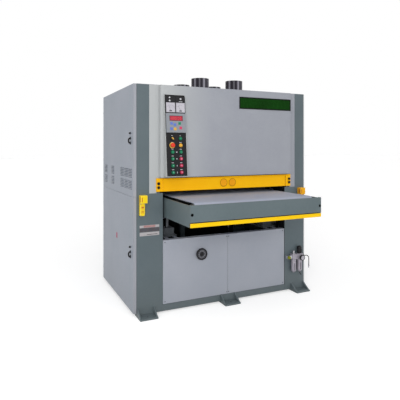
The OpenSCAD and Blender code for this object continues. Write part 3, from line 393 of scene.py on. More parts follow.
def toData(name, mesh, width, segments):
    roundEdges(mesh, width, segments)
    bmesh.ops.recalc_face_normals(mesh, faces=mesh.faces[:])
    data = bpy.data.meshes.new(name)
    mesh.to_mesh(data)
    mesh.free()
    return data


def addObject(name, data, finishes, body, replaced=(), smooth=40):
    for finish in finishes:
        data.materials.append(finish)
    data.polygons.foreach_set("use_smooth", [True] * len(data.polygons))
    data.set_sharp_from_angle(angle=math.radians(smooth))
    piece = bpy.data.objects.new(name, data)
    scene.collection.objects.link(piece)
    normals = piece.modifiers.new("faceNormals", "WEIGHTED_NORMAL")
    normals.keep_sharp = True
    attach(piece, body)
    if replaced:
        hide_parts(*replaced)
    return piece


def addPiece(name, mesh, finishes, body, replaced=(), width=0.0, segments=2):
    return addObject(name, toData(name, mesh, width, segments), finishes, body, replaced)


def addBar(name, low, high, finish, body, width):
    mesh = newMesh()
    addBox(mesh, low, high)
    return addPiece(name, mesh, [finish], body, width=width)


def camel(node):
    first, *rest = node.split("_")
    return first + "".join(word.title() for word in rest)


def dress(node, mesh, finishes, width=0.0, segments=2):  # stands for one CAD node
    body = frame["nodes"][node]["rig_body"]
    return addPiece(camel(node), mesh, finishes, body, (node,), width, segments)


journalEase = 0.3
flatWithin = 0.1
rimFacet = 5


def easeJournals(mesh, node, past):  # coarse facets then pass each other in a running fit
    middle = middleOf(node) * mm
    for vert in mesh.verts:
        if abs(vert.co.x) > past * mm:
            away = vert.co - middle
            away.x = 0
            vert.co -= away.normalized() * journalEase * mm


def repack(mesh):  # a fresh copy, so that the next bevel gives the same order in every run
    data = bpy.data.meshes.new("repacked")
    mesh.to_mesh(data)
    mesh.clear()
    mesh.from_mesh(data)
    bpy.data.meshes.remove(data)


def sinkEdges(mesh, low, size):  # a chamfer in painted shade round each hole and along the foot of a front plate
    def onLow(edge, axis):
        return all(abs(vert.co[axis] - low[axis] * mm) < flatWithin * mm for vert in edge.verts)

    for wanted in (lambda edge: edge.calc_length() < rimFacet * mm, lambda edge: onLow(edge, 2)):
        rims = [edge for edge in mesh.edges if onLow(edge, 1) and wanted(edge)]
        made = bmesh.ops.bevel(mesh, geom=rims, offset=size * mm, offset_type="OFFSET", segments=1,
                               affect="EDGES", clamp_overlap=True, material=1)
        for face in made["faces"]:
            face.material_index = 1
        repack(mesh)


def refine(node, finishes, width, pick=None, drop=None, segments=2, journals=None, sink=0):
    mesh = newMesh()
    mesh.from_mesh(frame["nodes"][node].data)
    if "wear" not in mesh.verts.layers.float:
        mesh.verts.layers.float.new("wear")
    weld(mesh, 0.01)
    bmesh.ops.dissolve_limit(mesh, angle_limit=math.radians(0.4), verts=mesh.verts[:], edges=mesh.edges[:])
    if drop:
        gone = [face for face in mesh.faces if drop(face.calc_center_median() / mm)]
        bmesh.ops.delete(mesh, geom=gone, context="FACES")
    if journals:
        easeJournals(mesh, node, journals)
    for face in mesh.faces:
        face.material_index = int(pick(face.calc_center_median() / mm, face.normal)) if pick else 0
    if sink:
        sinkEdges(mesh, span(node)[0], sink)
    return dress(node, mesh, finishes, width, segments)


repeatInputs = {
    "Points": "Geometry", "Template": "Object", "Size": "Float", "Spin": "Float", "Seed": "Int",
    "Finish": "Material",
}


def repeatGroup():
    group = bpy.data.node_groups.new("repeatOnPoints", "GeometryNodeTree")
    sockets = {}
    for label, kind in repeatInputs.items():
        made = group.interface.new_socket(label, in_out="INPUT", socket_type="NodeSocket" + kind)
        sockets[label] = made.identifier
    group.interface.new_socket("Result", in_out="OUTPUT", socket_type="NodeSocketGeometry")
    entry = addNode(group, "NodeGroupInput", output=None)
    shape = addNode(group, "GeometryNodeObjectInfo", {"Object": entry["Template"]}, "Geometry")
    turn = addNode(group, "GeometryNodeInputNamedAttribute", {"data_type": "FLOAT_VECTOR", "Name": "turn"})
    facing = addNode(group, "FunctionNodeEulerToRotation", {0: turn})
    settings = {"data_type": "FLOAT", 3: entry["Spin"], "Seed": entry["Seed"]}
    angle = addNode(group, "FunctionNodeRandomValue", settings, 1)
    spin = addNode(group, "FunctionNodeAxisAngleToRotation", {"Axis": (0, 0, 1), "Angle": angle})
    turned = addNode(group, "FunctionNodeRotateRotation", {"rotation_space": "LOCAL", 0: facing, 1: spin})
    settings = {"Points": entry["Points"], "Instance": shape, "Rotation": turned, "Scale": entry["Size"]}
    copies = addNode(group, "GeometryNodeInstanceOnPoints", settings)
    solid = addNode(group, "GeometryNodeRealizeInstances", {0: copies})
    dressed = addNode(group, "GeometryNodeSetMaterial", {"Geometry": solid, "Material": entry["Finish"]})
    addNode(group, "NodeGroupOutput", {0: dressed}, None)
    return group, sockets


repeater, repeaterSockets = repeatGroup()


def repeatPiece(name, template, spots, body, finish, size=1.0, spin=0.0, seed=4):
    points = bpy.data.meshes.new(name + "Points")
    points.from_pydata([spot.to_translation() for spot in spots], [], [])
    turn = points.attributes.new("turn", "FLOAT_VECTOR", "POINT")
    turn.data.foreach_set("vector", [part for spot in spots for part in spot.to_euler()])
    carrier = bpy.data.objects.new(name + "Points", points)
    scene.collection.objects.link(carrier)
    nodes = carrier.modifiers.new("repeat", "NODES")
    nodes.node_group = repeater
    values = {"Template": template, "Size": size, "Spin": spin, "Seed": seed, "Finish": finish}
    for label, value in values.items():
        nodes[repeaterSockets[label]] = value
    bpy.context.view_layer.update()
    solved = carrier.evaluated_get(bpy.context.evaluated_depsgraph_get())
    data = bpy.data.meshes.new_from_object(solved)
    carrier.modifiers.remove(nodes)
    bpy.data.objects.remove(carrier)
    data.materials.clear()
    return addObject(name, data, [finish], body)


# air hose first: one smooth hanging curve out of the nipple, ending in its coupling
hoseShape = {
    "radius": 4,
    "route": [(0, 0), (8, 0), (24, 0), (33, -1), (42, -5), (49, -10), (55, -18), (59, -27), (60, -36),
              (60, -52), (60, -68), (60, -84), (60, -96), (60, -104)],
    "fitting": [(0, 0), (6.6, 0), (8, 1.4), (8, 7), (7, 8), (7, 9), (8, 10), (8, 16), (5, 18), (5, 20),
                (4.2, 21), (4.2, 24), (5, 25), (5, 31), (4, 34), (0, 34)],
}
hoseLow, hoseHigh = span("air_hose")
nippleZ = hoseHigh.z - hoseShape["radius"]


def smoothLine(route):  # three points per step, through every point of the route
    line = []
    for i in range(len(route) - 1):
        before, here, after, beyond = (route[min(max(i + k, 0), len(route) - 1)] for k in (-1, 0, 1, 2))
        for share in (0, 1 / 3, 2 / 3):
            bend = (before * 2 - here * 5 + after * 4 - beyond) * share ** 2
            twist = (here * 3 - before - after * 3 + beyond) * share ** 3
            line.append((here * 2 + (after - before) * share + bend + twist) / 2)
    return line + [route[-1]]


def addHose(shape):
    start = at(hoseLow.x, (hoseLow.y + hoseHigh.y) / 2, nippleZ)
    line = smoothLine([start + at(x, 0, z) for x, z in shape["route"]])
    curve = bpy.data.curves.new("airHose", "CURVE")
    curve.dimensions = "3D"
    spline = curve.splines.new("POLY")
    spline.points.add(len(line) - 1)
    for point, place in zip(spline.points, line):
        point.co = (*place, 1)
    curve.bevel_depth = shape["radius"] * mm
    curve.bevel_resolution = 8
    curve.use_fill_caps = True
    curve.materials.append(blackRubber)
    hose = bpy.data.objects.new("airHose", curve)
    scene.collection.objects.link(hose)
    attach(hose, "frame")
    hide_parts("air_hose")
    fitting = newMesh()
    addLathe(fitting, shape["fitting"], aim(*(line[-1] / mm), "-z"), 36)
    coupling = dress("hose_fitting", fitting, [nickel], 0.3)


addHose(hoseShape)

# templates that Geometry Nodes repeats
templates = []
screwShape = {"headRadius": 5, "headHeight": 2.6, "socket": 2.4}
louvreShape = {
    "width": 124, "height": 11, "proud": 6.5, "rows": 17,
    "outline": [(0.5, 0), (0.3, 0.42), (0.0, 0.8), (-0.3, 1), (-0.42, 0.97), (-0.42, 0.85),
                (-0.3, 0.82), (0.0, 0.5)],
}
barShapes = {  # low corner, high corner, rounding
    "slot": ((-60, -9, 0), (60, -0.5, 0.6), 0.1),
    "tick": ((-0.5, 0, 0), (0.5, 5, 0.25), 0),
    "rib": ((-1.1, -1, 0), (1.1, 1, 30), 0.6),
    "fin": ((0, -1.6, -150), (9, 1.6, 150), 0.6),
}


def template(name, mesh, width=0.0):
    made = bpy.data.objects.new(name, toData(name, mesh, width, 2))
    scene.collection.objects.link(made)
    made.hide_render = True
    templates.append(made)
    return made


def screwTemplate(shape):
    mesh = newMesh()
    r, h, s = shape["headRadius"], shape["headHeight"], shape["socket"]
    profile = [(0, -0.5), (r, -0.5), (r, h * 0.35), (r * 0.82, h * 0.85), (s * 1.35, h), (s, h)]
    addLathe(mesh, profile + [(s, h * 0.3), (0, h * 0.3)], Matrix(), 24)
    return template("screwTemplate", mesh)


def louvreTemplate(shape):
    mesh = newMesh()
    rows = []
    half = (shape["rows"] - 1) / 2
    for i in range(shape["rows"]):
        x = (i / half - 1) * shape["width"] / 2
        swell = (1 - abs(i / half - 1) ** 5) ** 0.5 * shape["proud"]
        spots = [at(x, y * shape["height"], z * swell + 0.1) for y, z in shape["outline"]]
        rows.append([mesh.verts.new(spot) for spot in spots])
    for lower, upper in zip(rows, rows[1:]):
        for k in range(len(lower) - 1):
            mesh.faces.new([lower[k], lower[k + 1], upper[k + 1], upper[k]])
    return template("louvreTemplate", mesh)


def barTemplate(name, low, high, width):
    mesh = newMesh()
    addBox(mesh, low, high)
    return template(name + "Template", mesh, width)


screw = screwTemplate(screwShape)
louvre = louvreTemplate(louvreShape)
bars = {name: barTemplate(name, *shape) for name, shape in barShapes.items()}
print("templates ready")


def addScrewRow(name, spots, finish, size):  # each head turned at random
    repeatPiece(name, screw, spots, "frame", finish, size, math.tau)


# frame, columns and covers: the CAD shapes with rounded, rubbed edges
finishLimits = {"bayDepth": 8, "bayHeight": 80, "footDrop": 10, "panelSkin": 3.1, "frontEdge": 20}


def facesIn(centre, normal):  # faces of a side frame that look into the machine; they take painted shade
    return normal.x * centre.x < -0.5 * abs(centre.x)


def onFrontEdge(centre, normal):
    return normal.y < -0.9 and centre.y < frontY + finishLimits["frontEdge"]


def baseFinish(centre, normal):  # painted shade in the bay with a pale painted highlight on its beams' tops; the feet's upward faces take a lighter lit copy of the frame coat, with floor dust
    inBay = abs(centre.y) < panelHigh.y - finishLimits["bayDepth"]
    if inBay and centre.z > panelHigh.z - finishLimits["bayHeight"]:
        return 3 if normal.z > 0.5 else 1
    return 2 if normal.z > 0.5 and centre.z < panelLow.z - finishLimits["footDrop"] else 0


def panelFinish(centre, normal):  # painted shade inside the rear panel, a cast boss behind the front one
    if centre.y > 0:
        return 2 if normal.y < -0.5 else 0
    return int(centre.y > panelLow.y + finishLimits["panelSkin"])


refine("base_frame", [framePaint, paintedShade, feetTopsPaintedLight, panelCoatAndHighlight], 2.0, baseFinish)
refine("left_side_frame", [framePaint, paintedShade], 1.6, facesIn)
refine("right_side_frame", [framePaint, paintedShade], 1.6, facesIn)
refine("top_cover", [sheetCoatAndHighlight], 0.9)
refine("hood_front", [coverCoatAndHighlight], 0.9)
refine("hood_cover", [coverCoatAndHighlight], 1.2, segments=4)
refine("hood_rear", [sheetCoatAndHighlight], 0.9)
refine("lower_panels", [panelCoatAndHighlight, casting, paintedShade], 1.0, panelFinish)
# painted highlight: front-facing faces at the front edge take the paler grey
refine("right_covers", [sheetCoatAndHighlight, paleCoatAndHighlight], 1.2, onFrontEdge, segments=4)
refine("guard_tabs", [yellowPaint], 0.8)
refine("safety_flap", [yellowPaint], 0.8)
print("frame and covers refined")

lipShape = {"gap": 0.9, "past": 0.5, "thick": 3, "below": 15.5, "tabWidth": 61}
beadShape = {"proud": 29, "gap": 0.6, "frontInset": 1, "rearInset": 3}
trimShape = {"above": 26, "overlap": 8, "inset": 5, "cover": 0.5}


def addLips(shape):  # close the slits beside the flap
    inner = span("safety_flap")[1].x + shape["gap"]
    outer = tabHigh.x - shape["tabWidth"] + shape["past"]
    mesh = newMesh()
    for x0, x1 in ((-outer, -inner), (inner, outer)):
        addBox(mesh, (x0, tabLow.y, tabLow.z), (x1, tabLow.y + shape["thick"], tabHigh.z - shape["below"]))
    addPiece("guardTabLips", mesh, [yellowPaint], "frame", width=0.4)


def addBead(shape):  # between the two doors
    foot = span("lower_door")[1].z + shape["gap"]
    head = span("upper_door")[0].z - shape["gap"]
    low = (-columnX - shape["proud"], frontY + shape["frontInset"], foot)
    high = (-columnX, rearY - shape["rearInset"], head)
    addBar("doorBead", low, high, doorPaint, "frame", 0.4)


def addTrim(shape):  # rubber edge on the rear panel
    x, y, z = panelHigh
    low = (-x, y - shape["inset"], z - shape["overlap"])
    high = (x, y - shape["cover"], z + shape["above"])
    addBar("rearPanelTrim", low, high, blackRubber, "frame", 0.8)


addLips(lipShape)
addBead(beadShape)
addTrim(trimShape)

screwPlan = {
    "panelInset": 20, "coverInset": 26, "seamInset": 10, "rearRise": 160, "topStep": 200, "tabInset": 20,
    "tabRise": 18, "tabDrop": 5, "shares": (-1, -0.5, 0, 0.5, 1),
}


def addPanelScrews(plan):
    inset = plan["panelInset"]
    xs = [side * x for side in (-1, 1) for x in (plan["seamInset"], panelHigh.x - inset)]
    zs = (panelLow.z + inset, panelHigh.z - inset)
    front = [aim(x, panelLow.y, z, "-y") for x in xs for z in zs]
    addScrewRow("lowerPanelScrews", front, darkPrint, 1.0)
    rear = [aim(x, panelHigh.y, z, "y") for x in xs for z in zs]
    low, high = span("hood_rear")
    edge = high.x - inset
    sheetXs = [edge * share for share in plan["shares"]]
    rear += [aim(x, rearY, z, "y") for x in sheetXs for z in (low.z + inset, high.z - inset)]
    heights = [(low.z + high.z) / 2 + side * plan["rearRise"] for side in (-1, 1)]
    rear += [aim(side * edge, rearY, z, "y") for side in (-1, 1) for z in heights]
    addScrewRow("rearPanelScrews", rear, screwZinc, 1.2)


def addCoverScrews(plan):
    tabX = tabHigh.x - plan["tabInset"]
    tabZ = (tabLow.z + tabHigh.z) / 2 - plan["tabDrop"]
    heights = (tabZ - plan["tabRise"], tabZ + plan["tabRise"])
    tabs = [aim(side * tabX, tabLow.y, z, "-y") for side in (-1, 1) for z in heights]
    addScrewRow("guardTabScrews", tabs, screwBlack, 2.7)
    inset = plan["coverInset"]
    low, high = span("right_covers")
    seam = span("upper_door")[0].z
    heights = (low.z + inset, seam - inset, seam + inset, high.z - inset)
    right = [aim(high.x, y, z, "x") for y in (low.y + inset, 0, high.y - inset) for z in heights]
    addScrewRow("rightCoverScrews", right, screwZinc, 1.3)
    edge = columnX - inset
    ends = (frontY + inset, rearY - inset)
    top = [aim(edge * share, y, topHigh.z) for share in plan["shares"] for y in ends]
    between = (-plan["topStep"], plan["topStep"])
    top += [aim(side * edge, y, topHigh.z) for side in (-1, 1) for y in between]
    addScrewRow("topCoverScrews", top, screwZinc, 1.2)


addPanelScrews(screwPlan)
addCoverScrews(screwPlan)

portShape = {
    "wall": 3, "flange": 22, "flangeHeight": 5, "backRow": 500, "bolts": 8,
    # painted reflection: the bright vertical streaks of the lamps round each duct
    "streaks": ((-88, 7, 0.75), (-62, 4, 0.35), (-40, 5, 0.6), (-150, 6, 0.6), (-118, 4, 0.3),
                (30, 8, 0.5), (85, 7, 0.6), (150, 9, 0.5)),  # angle, width, strength
}


def lampReflectionAt(angle, streaks):
    total = 0.0
    for middle, width, strength in streaks:
        away = (math.degrees(angle) - middle + 180) % 360 - 180
        total = max(total, strength * math.exp(-(away / width) ** 2))
    return total


def addPorts(shape):
    low, high = span("dust_ports")
    rim = shape["flange"]
    r = (high.y - low.y - shape["backRow"]) / 2 - rim
    reach = r + rim
    spots = [(x, y) for x in (low.x + reach, high.x - reach) for y in (low.y + reach, high.y - reach)]
    inner = r - shape["wall"]
    top = high.z - topHigh.z
    foot = shape["flangeHeight"]
    profile = [(inner, 0), (reach, 0), (reach, foot), (r + 3, foot), (r, 9), (r, top - 5)]
    profile += [(r + 0.8, top - 2), (r, top), (inner, top), (inner, 0)]
    mesh = newMesh()
    layer = mesh.verts.layers.float.new("streak")
    for x, y in spots:
        for vert in addLathe(mesh, profile, aim(x, y, topHigh.z), 144):
            around = vert.co / mm - Vector((x, y, 0))
            vert[layer] = lampReflectionAt(math.atan2(around.y, around.x), shape["streaks"])
    weld(mesh, 0.01)
    dress("dust_ports", mesh, [portSteelAndReflection])
    ring = r + rim / 2
    turns = [math.tau * (i + 0.5) / shape["bolts"] for i in range(shape["bolts"])]
    offsets = [(ring * math.cos(t), ring * math.sin(t)) for t in turns]
    bolts = [aim(x + dx, y + dy, topHigh.z + foot) for x, y in spots for dx, dy in offsets]
    addScrewRow("portScrews", bolts, screwZinc, 1.0)


addPorts(portShape)
print("screws and dust ports placed")

doorShape = {
    "knobReach": 14.5, "knobRadius": 10, "drop": 38, "handleHeight": 58, "reach": 17.8, "thick": 7,
    "bow": 0.55, "foot": [(0, 0), (14, 0), (14, 2.5), (10, 6), (0, 6)],
    "knob": [(0, 0.5), (10, 0.5), (10, 4), (9, 6), (9, 12), (7.8, 14.3), (0, 14.3)],
    "grip": ((-2, -9.6, 5), (2, 9.6, 14.5)),
    "stem": [(0, -13), (4.9, -13), (4.9, 1), (0, 1)],
    "tongue": ((-38, -7, -15), (7, 7, -10)),
}
louvrePlan = {"ys": (-497, -363, -217, 157, 466), "zs": (1284, 1177), "perPatch": 6, "pitch": 14.5}


def doorFinish(centre, normal):  # plated hinges at the back, painted highlight on the front edge
    if centre.y > rearY - 1.5:
        return 1
    return 2 if onFrontEdge(centre, normal) else 0


def addDoor(node, shape):
    latch = node.replace("door", "latch")
    low, high = span(latch)
    face = low.x + shape["knobReach"]
    y = (low.y + high.y) / 2
    z = high.z - shape["knobRadius"]
    finishes = [doorPaint, screwZinc, sheetCoatAndHighlight]
    refine(node, finishes, 1.2, doorFinish, lambda centre: centre.x < face - 0.1, 4)
    mesh = newMesh()
    middle = z - shape["drop"] - shape["handleHeight"] / 2
    half = shape["handleHeight"] / 2 - shape["thick"]
    turns = [math.pi * i / 18 for i in range(19)]
    depths = [shape["reach"] * math.sin(t) ** shape["bow"] for t in turns]
    bow = [(face - depth, y, middle + half * math.cos(t)) for t, depth in zip(turns, depths)]
    addTube(mesh, bow, shape["thick"], 20)
    for rise in (-half, half):
        addLathe(mesh, shape["foot"], aim(face, y, middle + rise, "-x"), 32)
    addPiece(camel(node) + "Handle", mesh, [blackPlastic], node, width=0.4)
    knob = newMesh()
    place = aim(face, y, z, "-x")
    addLathe(knob, shape["knob"], place, 40)
    addBox(knob, *shape["grip"], place)
    addLathe(knob, shape["stem"], place, 24)
    addBox(knob, *shape["tongue"], place)
    dress(latch, knob, [blackPlastic], 0.7)
    return face


def addLouvres(plan):
    spots = []
    facing = Matrix.Rotation(math.radians(-90), 4, "Y") @ Matrix.Rotation(math.radians(-90), 4, "Z")
    for y in plan["ys"]:
        for z in plan["zs"]:
            for i in range(plan["perPatch"]):
                rise = (i - (plan["perPatch"] - 1) / 2) * plan["pitch"]
                spots.append(Matrix.Translation(at(doorFace, y, z + rise)) @ facing)
    repeatPiece("doorLouvres", louvre, spots, "upper_door", doorPaint)
    # painted shade: dark slots in the mouths of the louvres
    repeatPiece("louvreSlots", bars["slot"], spots, "upper_door", paintedShade)


addDoor("upper_door", doorShape)
doorFace = addDoor("lower_door", doorShape)
addLouvres(louvrePlan)
print("doors dressed")

# bare plates and films
signShape = {
    "low": (100, 1889), "high": (713, 2007), "rim": 8, "gap": 4, "back": 2, "rimProud": 4, "faceProud": 2.8,
}
plateShape = {
    "low": (-897, 716), "high": (-707, 813), "thick": 1, "band": (1.5, 0.5), "bar": (1.8, 1),
    "films": (  # layer, low corner and high corner on the plate, finish
        ("band", 3, 1, 187, 33, 1), ("band", 3, 37, 187, 70, 2), ("band", 3, 74, 187, 96, 1),
        ("bar", 40, 76, 150, 94, 3), ("bar", 9.5, 42, 76, 64, 4), ("bar", 87.4, 42, 125.4, 64, 4),
        ("bar", 136.8, 42, 178.6, 64, 4), ("bar", 70, 10, 170, 15, 2),
    ),
}
markShape = {"y": -16, "z": 626, "size": (44, 54), "thick": 0.6}
discShape = {"xs": (-55, 40), "z": 1169, "radius": 38, "ring": 2.6, "thick": 0.5, "ringThick": 0.7}


def addSign(shape):
    (x0, z0), (x1, z1) = shape["low"], shape["high"]
    rim, y = shape["rim"], coverLow.y
    mesh = newMesh()
    addBox(mesh, (x0, y - shape["back"], z0), (x1, y, z1))
    for low, high in (((x0, z0), (x1, z0 + rim)), ((x0, z1 - rim), (x1, z1)),
                      ((x0, z0), (x0 + rim, z1)), ((x1 - rim, z0), (x1, z1))):
        addBox(mesh, (low[0], y - shape["rimProud"], low[1]), (high[0], y - 1, high[1]))
    inset = rim + shape["gap"]
    low = (x0 + inset, y - shape["faceProud"], z0 + inset)
    addBox(mesh, low, (x1 - inset, y - 1, z1 - inset), finish=1)
    addPiece("signPlate", mesh, [signRim, signGreen], "frame", width=0.6)


def addRatingPlate(shape):
    (x0, z0), (x1, z1) = shape["low"], shape["high"]
    mesh = newMesh()
    addBox(mesh, (x0, frontY - shape["thick"], z0), (x1, frontY, z1))
    for layer, left, foot, right, head, finish in shape["films"]:
        front, back = shape[layer]
        low = (x0 + left, frontY - front, z0 + foot)
        addBox(mesh, low, (x0 + right, frontY - back, z0 + head), finish=finish)
    finishes = [framePaint, palePrint, brownPrint, pinkPrint, darkPrint]
    addPiece("ratingPlate", mesh, finishes, "frame", width=0.2)


def addMark(shape):
    y, z = shape["y"], shape["z"]
    wide, tall = shape["size"]
    low = (doorFace - shape["thick"], y - wide / 2, z - tall / 2)
    high = (doorFace, y + wide / 2, z + tall / 2)
    addBar("doorMark", low, high, redFilm, "lower_door", 0.25)


def addDiscs(shape):
    r, thick, edge = shape["radius"], shape["thick"], shape["ringThick"]
    inner = r - shape["ring"]
    mesh = newMesh()
    for x in shape["xs"]:
        place = aim(x, tabLow.y, shape["z"], "-y")
        addLathe(mesh, [(0, 0), (inner, 0), (inner, thick), (0, thick)], place, 64)
        addLathe(mesh, [(inner, 0), (r, 0), (r, edge), (inner, edge), (inner, 0)], place, 64, 1)
    addPiece("guardDiscs", mesh, [discPrint, inkPrint], "safety_flap", width=0.1)


addSign(signShape)
addRatingPlate(plateShape)
addMark(markShape)
addDiscs(discShape)

# console in its own leaning frame: X across, Z up the front, -Y out of it
consoleShape = {
    "topDepth": 12, "filmFace": -2.05, "upRow": 2, "stopRow": 5, "rows": 6,
    "collars": {(1, 0): 1, (1, 1): 3, (0, 2): 1, (1, 2): 1},  # column and row, finish
}
boxLow, boxHigh = span("console_box")
consoleRun = coverLow.y - boxLow.y - consoleShape["topDepth"]
consoleLean = math.atan2(consoleRun, boxHigh.z - boxLow.z)
consoleFoot = Matrix.Translation(at((boxLow.x + boxHigh.x) / 2, boxLow.y, boxLow.z))
consoleAt = consoleFoot @ Matrix.Rotation(-consoleLean, 4, "X")
toConsole = consoleAt.inverted()


def consoleSpan(node):
    source = frame["nodes"][node]
    spots = [toConsole @ source.matrix_world @ vert.co / mm for vert in source.data.vertices]
    return [Vector([limit(spot[i] for spot in spots) for i in range(3)]) for limit in (min, max)]


def consoleMiddle(node):
    low, high = consoleSpan(node)
    return (low + high) / 2


upSpot = consoleMiddle("table_up_button")
stopSpot = consoleMiddle("feed_stop")
rowPitch = (upSpot.z - stopSpot.z) / (consoleShape["stopRow"] - consoleShape["upRow"])
columns = (upSpot.x, stopSpot.x)
rows = [upSpot.z + (consoleShape["upRow"] - row) * rowPitch for row in range(consoleShape["rows"])]


def ringColor(centre, normal):  # collars take the colour of the control they hold
    spot = toConsole @ (centre * mm) / mm
    if spot.y > consoleShape["filmFace"]:
        return 0
    column = int(spot.x > 0)
    row = min(range(len(rows)), key=lambda i: abs(rows[i] - spot.z))
    if row > consoleShape["upRow"]:
        return 2 if column else 1
    return consoleShape["collars"].get((column, row), 0)


refine("console_box", [paleCoatAndHighlight], 1.4, segments=4)
refine("console_plate", [plateFilm, greenRing, redRing, amberPlastic], 0.5, ringColor)

buttonShape = {
    "radius": 11.8, "reach": 18, "shoulder": 1.2,
    "flushTop": [(10.9, 15.8), (9.4, 16), (8.2, 15.2), (0, 14.6)],
    "stopTop": [(11.8, 16.2), (18.4, 16.2), (20, 18), (20, 22), (18.2, 25.6), (13, 28), (6, 28.8), (0, 29)],
    "startMark": ((-1, -5, 14.3), (1, 5, 15.2)),
    "stopMark": [(3, 14.3), (4.6, 14.3), (4.6, 15.2), (3, 15.2), (3, 14.3)],
    "selectorTop": [(11.8, 15), (10.8, 16), (0, 16)], "selectorTurn": 45,
    "selectorGrip": ((-4.3, -11.8, 15), (4.3, 11.8, 27.6)),
    "lensTop": [(11.8, 11), (10.8, 13.4), (8, 15.2), (4, 15.9), (0, 16)],
}
buttonFoot = [(0, -buttonShape["reach"]), (buttonShape["radius"], -buttonShape["reach"])]


def onConsole(column, row):
    return aim(columns[column], 0, rows[row], "-y", consoleAt)


def addButton(node, column, row, finish, top, mark=None):
    mesh = newMesh()
    place = onConsole(column, row)
    shoulder = (buttonShape["radius"], top[0][1] - buttonShape["shoulder"])
    addLathe(mesh, buttonFoot + [shoulder] + top, place, 40)
    if mark == "start":
        addBox(mesh, *buttonShape["startMark"], place, 1)
    if mark == "stop":
        addLathe(mesh, buttonShape["stopMark"], place, 24, 1)
    weld(mesh)
    dress(node, mesh, [finish, whitePrint], 0.25)


def addSelector(shape):
    mesh = newMesh()
    place = onConsole(0, 0)
    addLathe(mesh, buttonFoot + shape["selectorTop"], place, 40)
    turned = place @ Matrix.Rotation(math.radians(shape["selectorTurn"]), 4, "Z")
    addBox(mesh, *shape["selectorGrip"], turned, 1)
    dress("mode_selector", mesh, [blackPlastic, creamPlastic], 0.7)


def addLamps(shape):
    mesh = newMesh()
    for row in (0, 1):
        addLathe(mesh, buttonFoot + shape["lensTop"], onConsole(1, row), 40, row)
    dress("pilot_lamps", mesh, [greenPlastic, amberPlastic], 0.25)


for node, column, row, mark in (
    ("table_up_button", 0, 2, None), ("table_down_button", 1, 2, None), ("front_head_start", 0, 3, "start"),
    ("rear_head_start", 0, 4, "start"), ("feed_start", 0, 5, "start"),
):
    addButton(node, column, row, greenPlastic, buttonShape["flushTop"], mark)
for node, row in (("front_head_stop", 3), ("rear_head_stop", 4), ("feed_stop", 5)):
    addButton(node, 1, row, redPlastic, buttonShape["flushTop"], "stop")
addButton("emergency_stop", 0, 1, stopPlastic, buttonShape["stopTop"])
addSelector(buttonShape)
addLamps(buttonShape)

legendShape = {
    "width": 21, "topShare": 0.55, "height": 4.5, "above": 26, "front": -2.3, "back": -1.9,
    "middle": {2: (13, 8), 3: (9, 9), 4: (5, 14), 5: (5, 14)},
    "surround": [(17, 2), (27, 2), (27, 3), (17, 3), (17, 2)],
}


def addLegends(shape):
    prints = []
    for x in columns:
        for row, z in enumerate(rows):
            wide = shape["width"] * (shape["topShare"] if row == 0 else 1.0)
            prints.append((x, z + shape["above"], wide, shape["height"]))
    prints += [(0, rows[row], wide, tall) for row, (wide, tall) in shape["middle"].items()]
    mesh = newMesh()
    for x, z, wide, tall in prints:
        low = (x - wide / 2, shape["front"], z - tall / 2)
        addBox(mesh, low, (x + wide / 2, shape["back"], z + tall / 2), consoleAt)
    addPiece("consoleLegends", mesh, [whitePrint], "frame", width=0.1)
    mesh = newMesh()
    addLathe(mesh, shape["surround"], onConsole(0, 1), 64)
    weld(mesh)
    addPiece("stopSurround", mesh, [creamPlastic], "frame", width=0.3)


addLegends(legendShape)

meterShape = {
    "faceShare": 0.635, "case": 10, "wall": 3, "lid": 2, "bezel": 5, "card": 3, "gap": 1, "pivot": 22,
    "yokeHalf": 13, "yokeFoot": 12, "yoke": (1.6, 3.2), "needle": ((-0.9, -0.4, 0), (0.9, 0.4, 46)),
    "needleTurn": -24, "needleDepth": 2.4, "scale": 44, "scaleDepth": 2.9, "scaleTurns": range(-48, 49, 8),
    "dots": ((-56, 0.8, 7), (-56, 0.27, 8), (50, 0.6, 9)), "bar": ((33, 5), (67, 10)), "proud": 0.6,
    "sunk": 0.2,
}


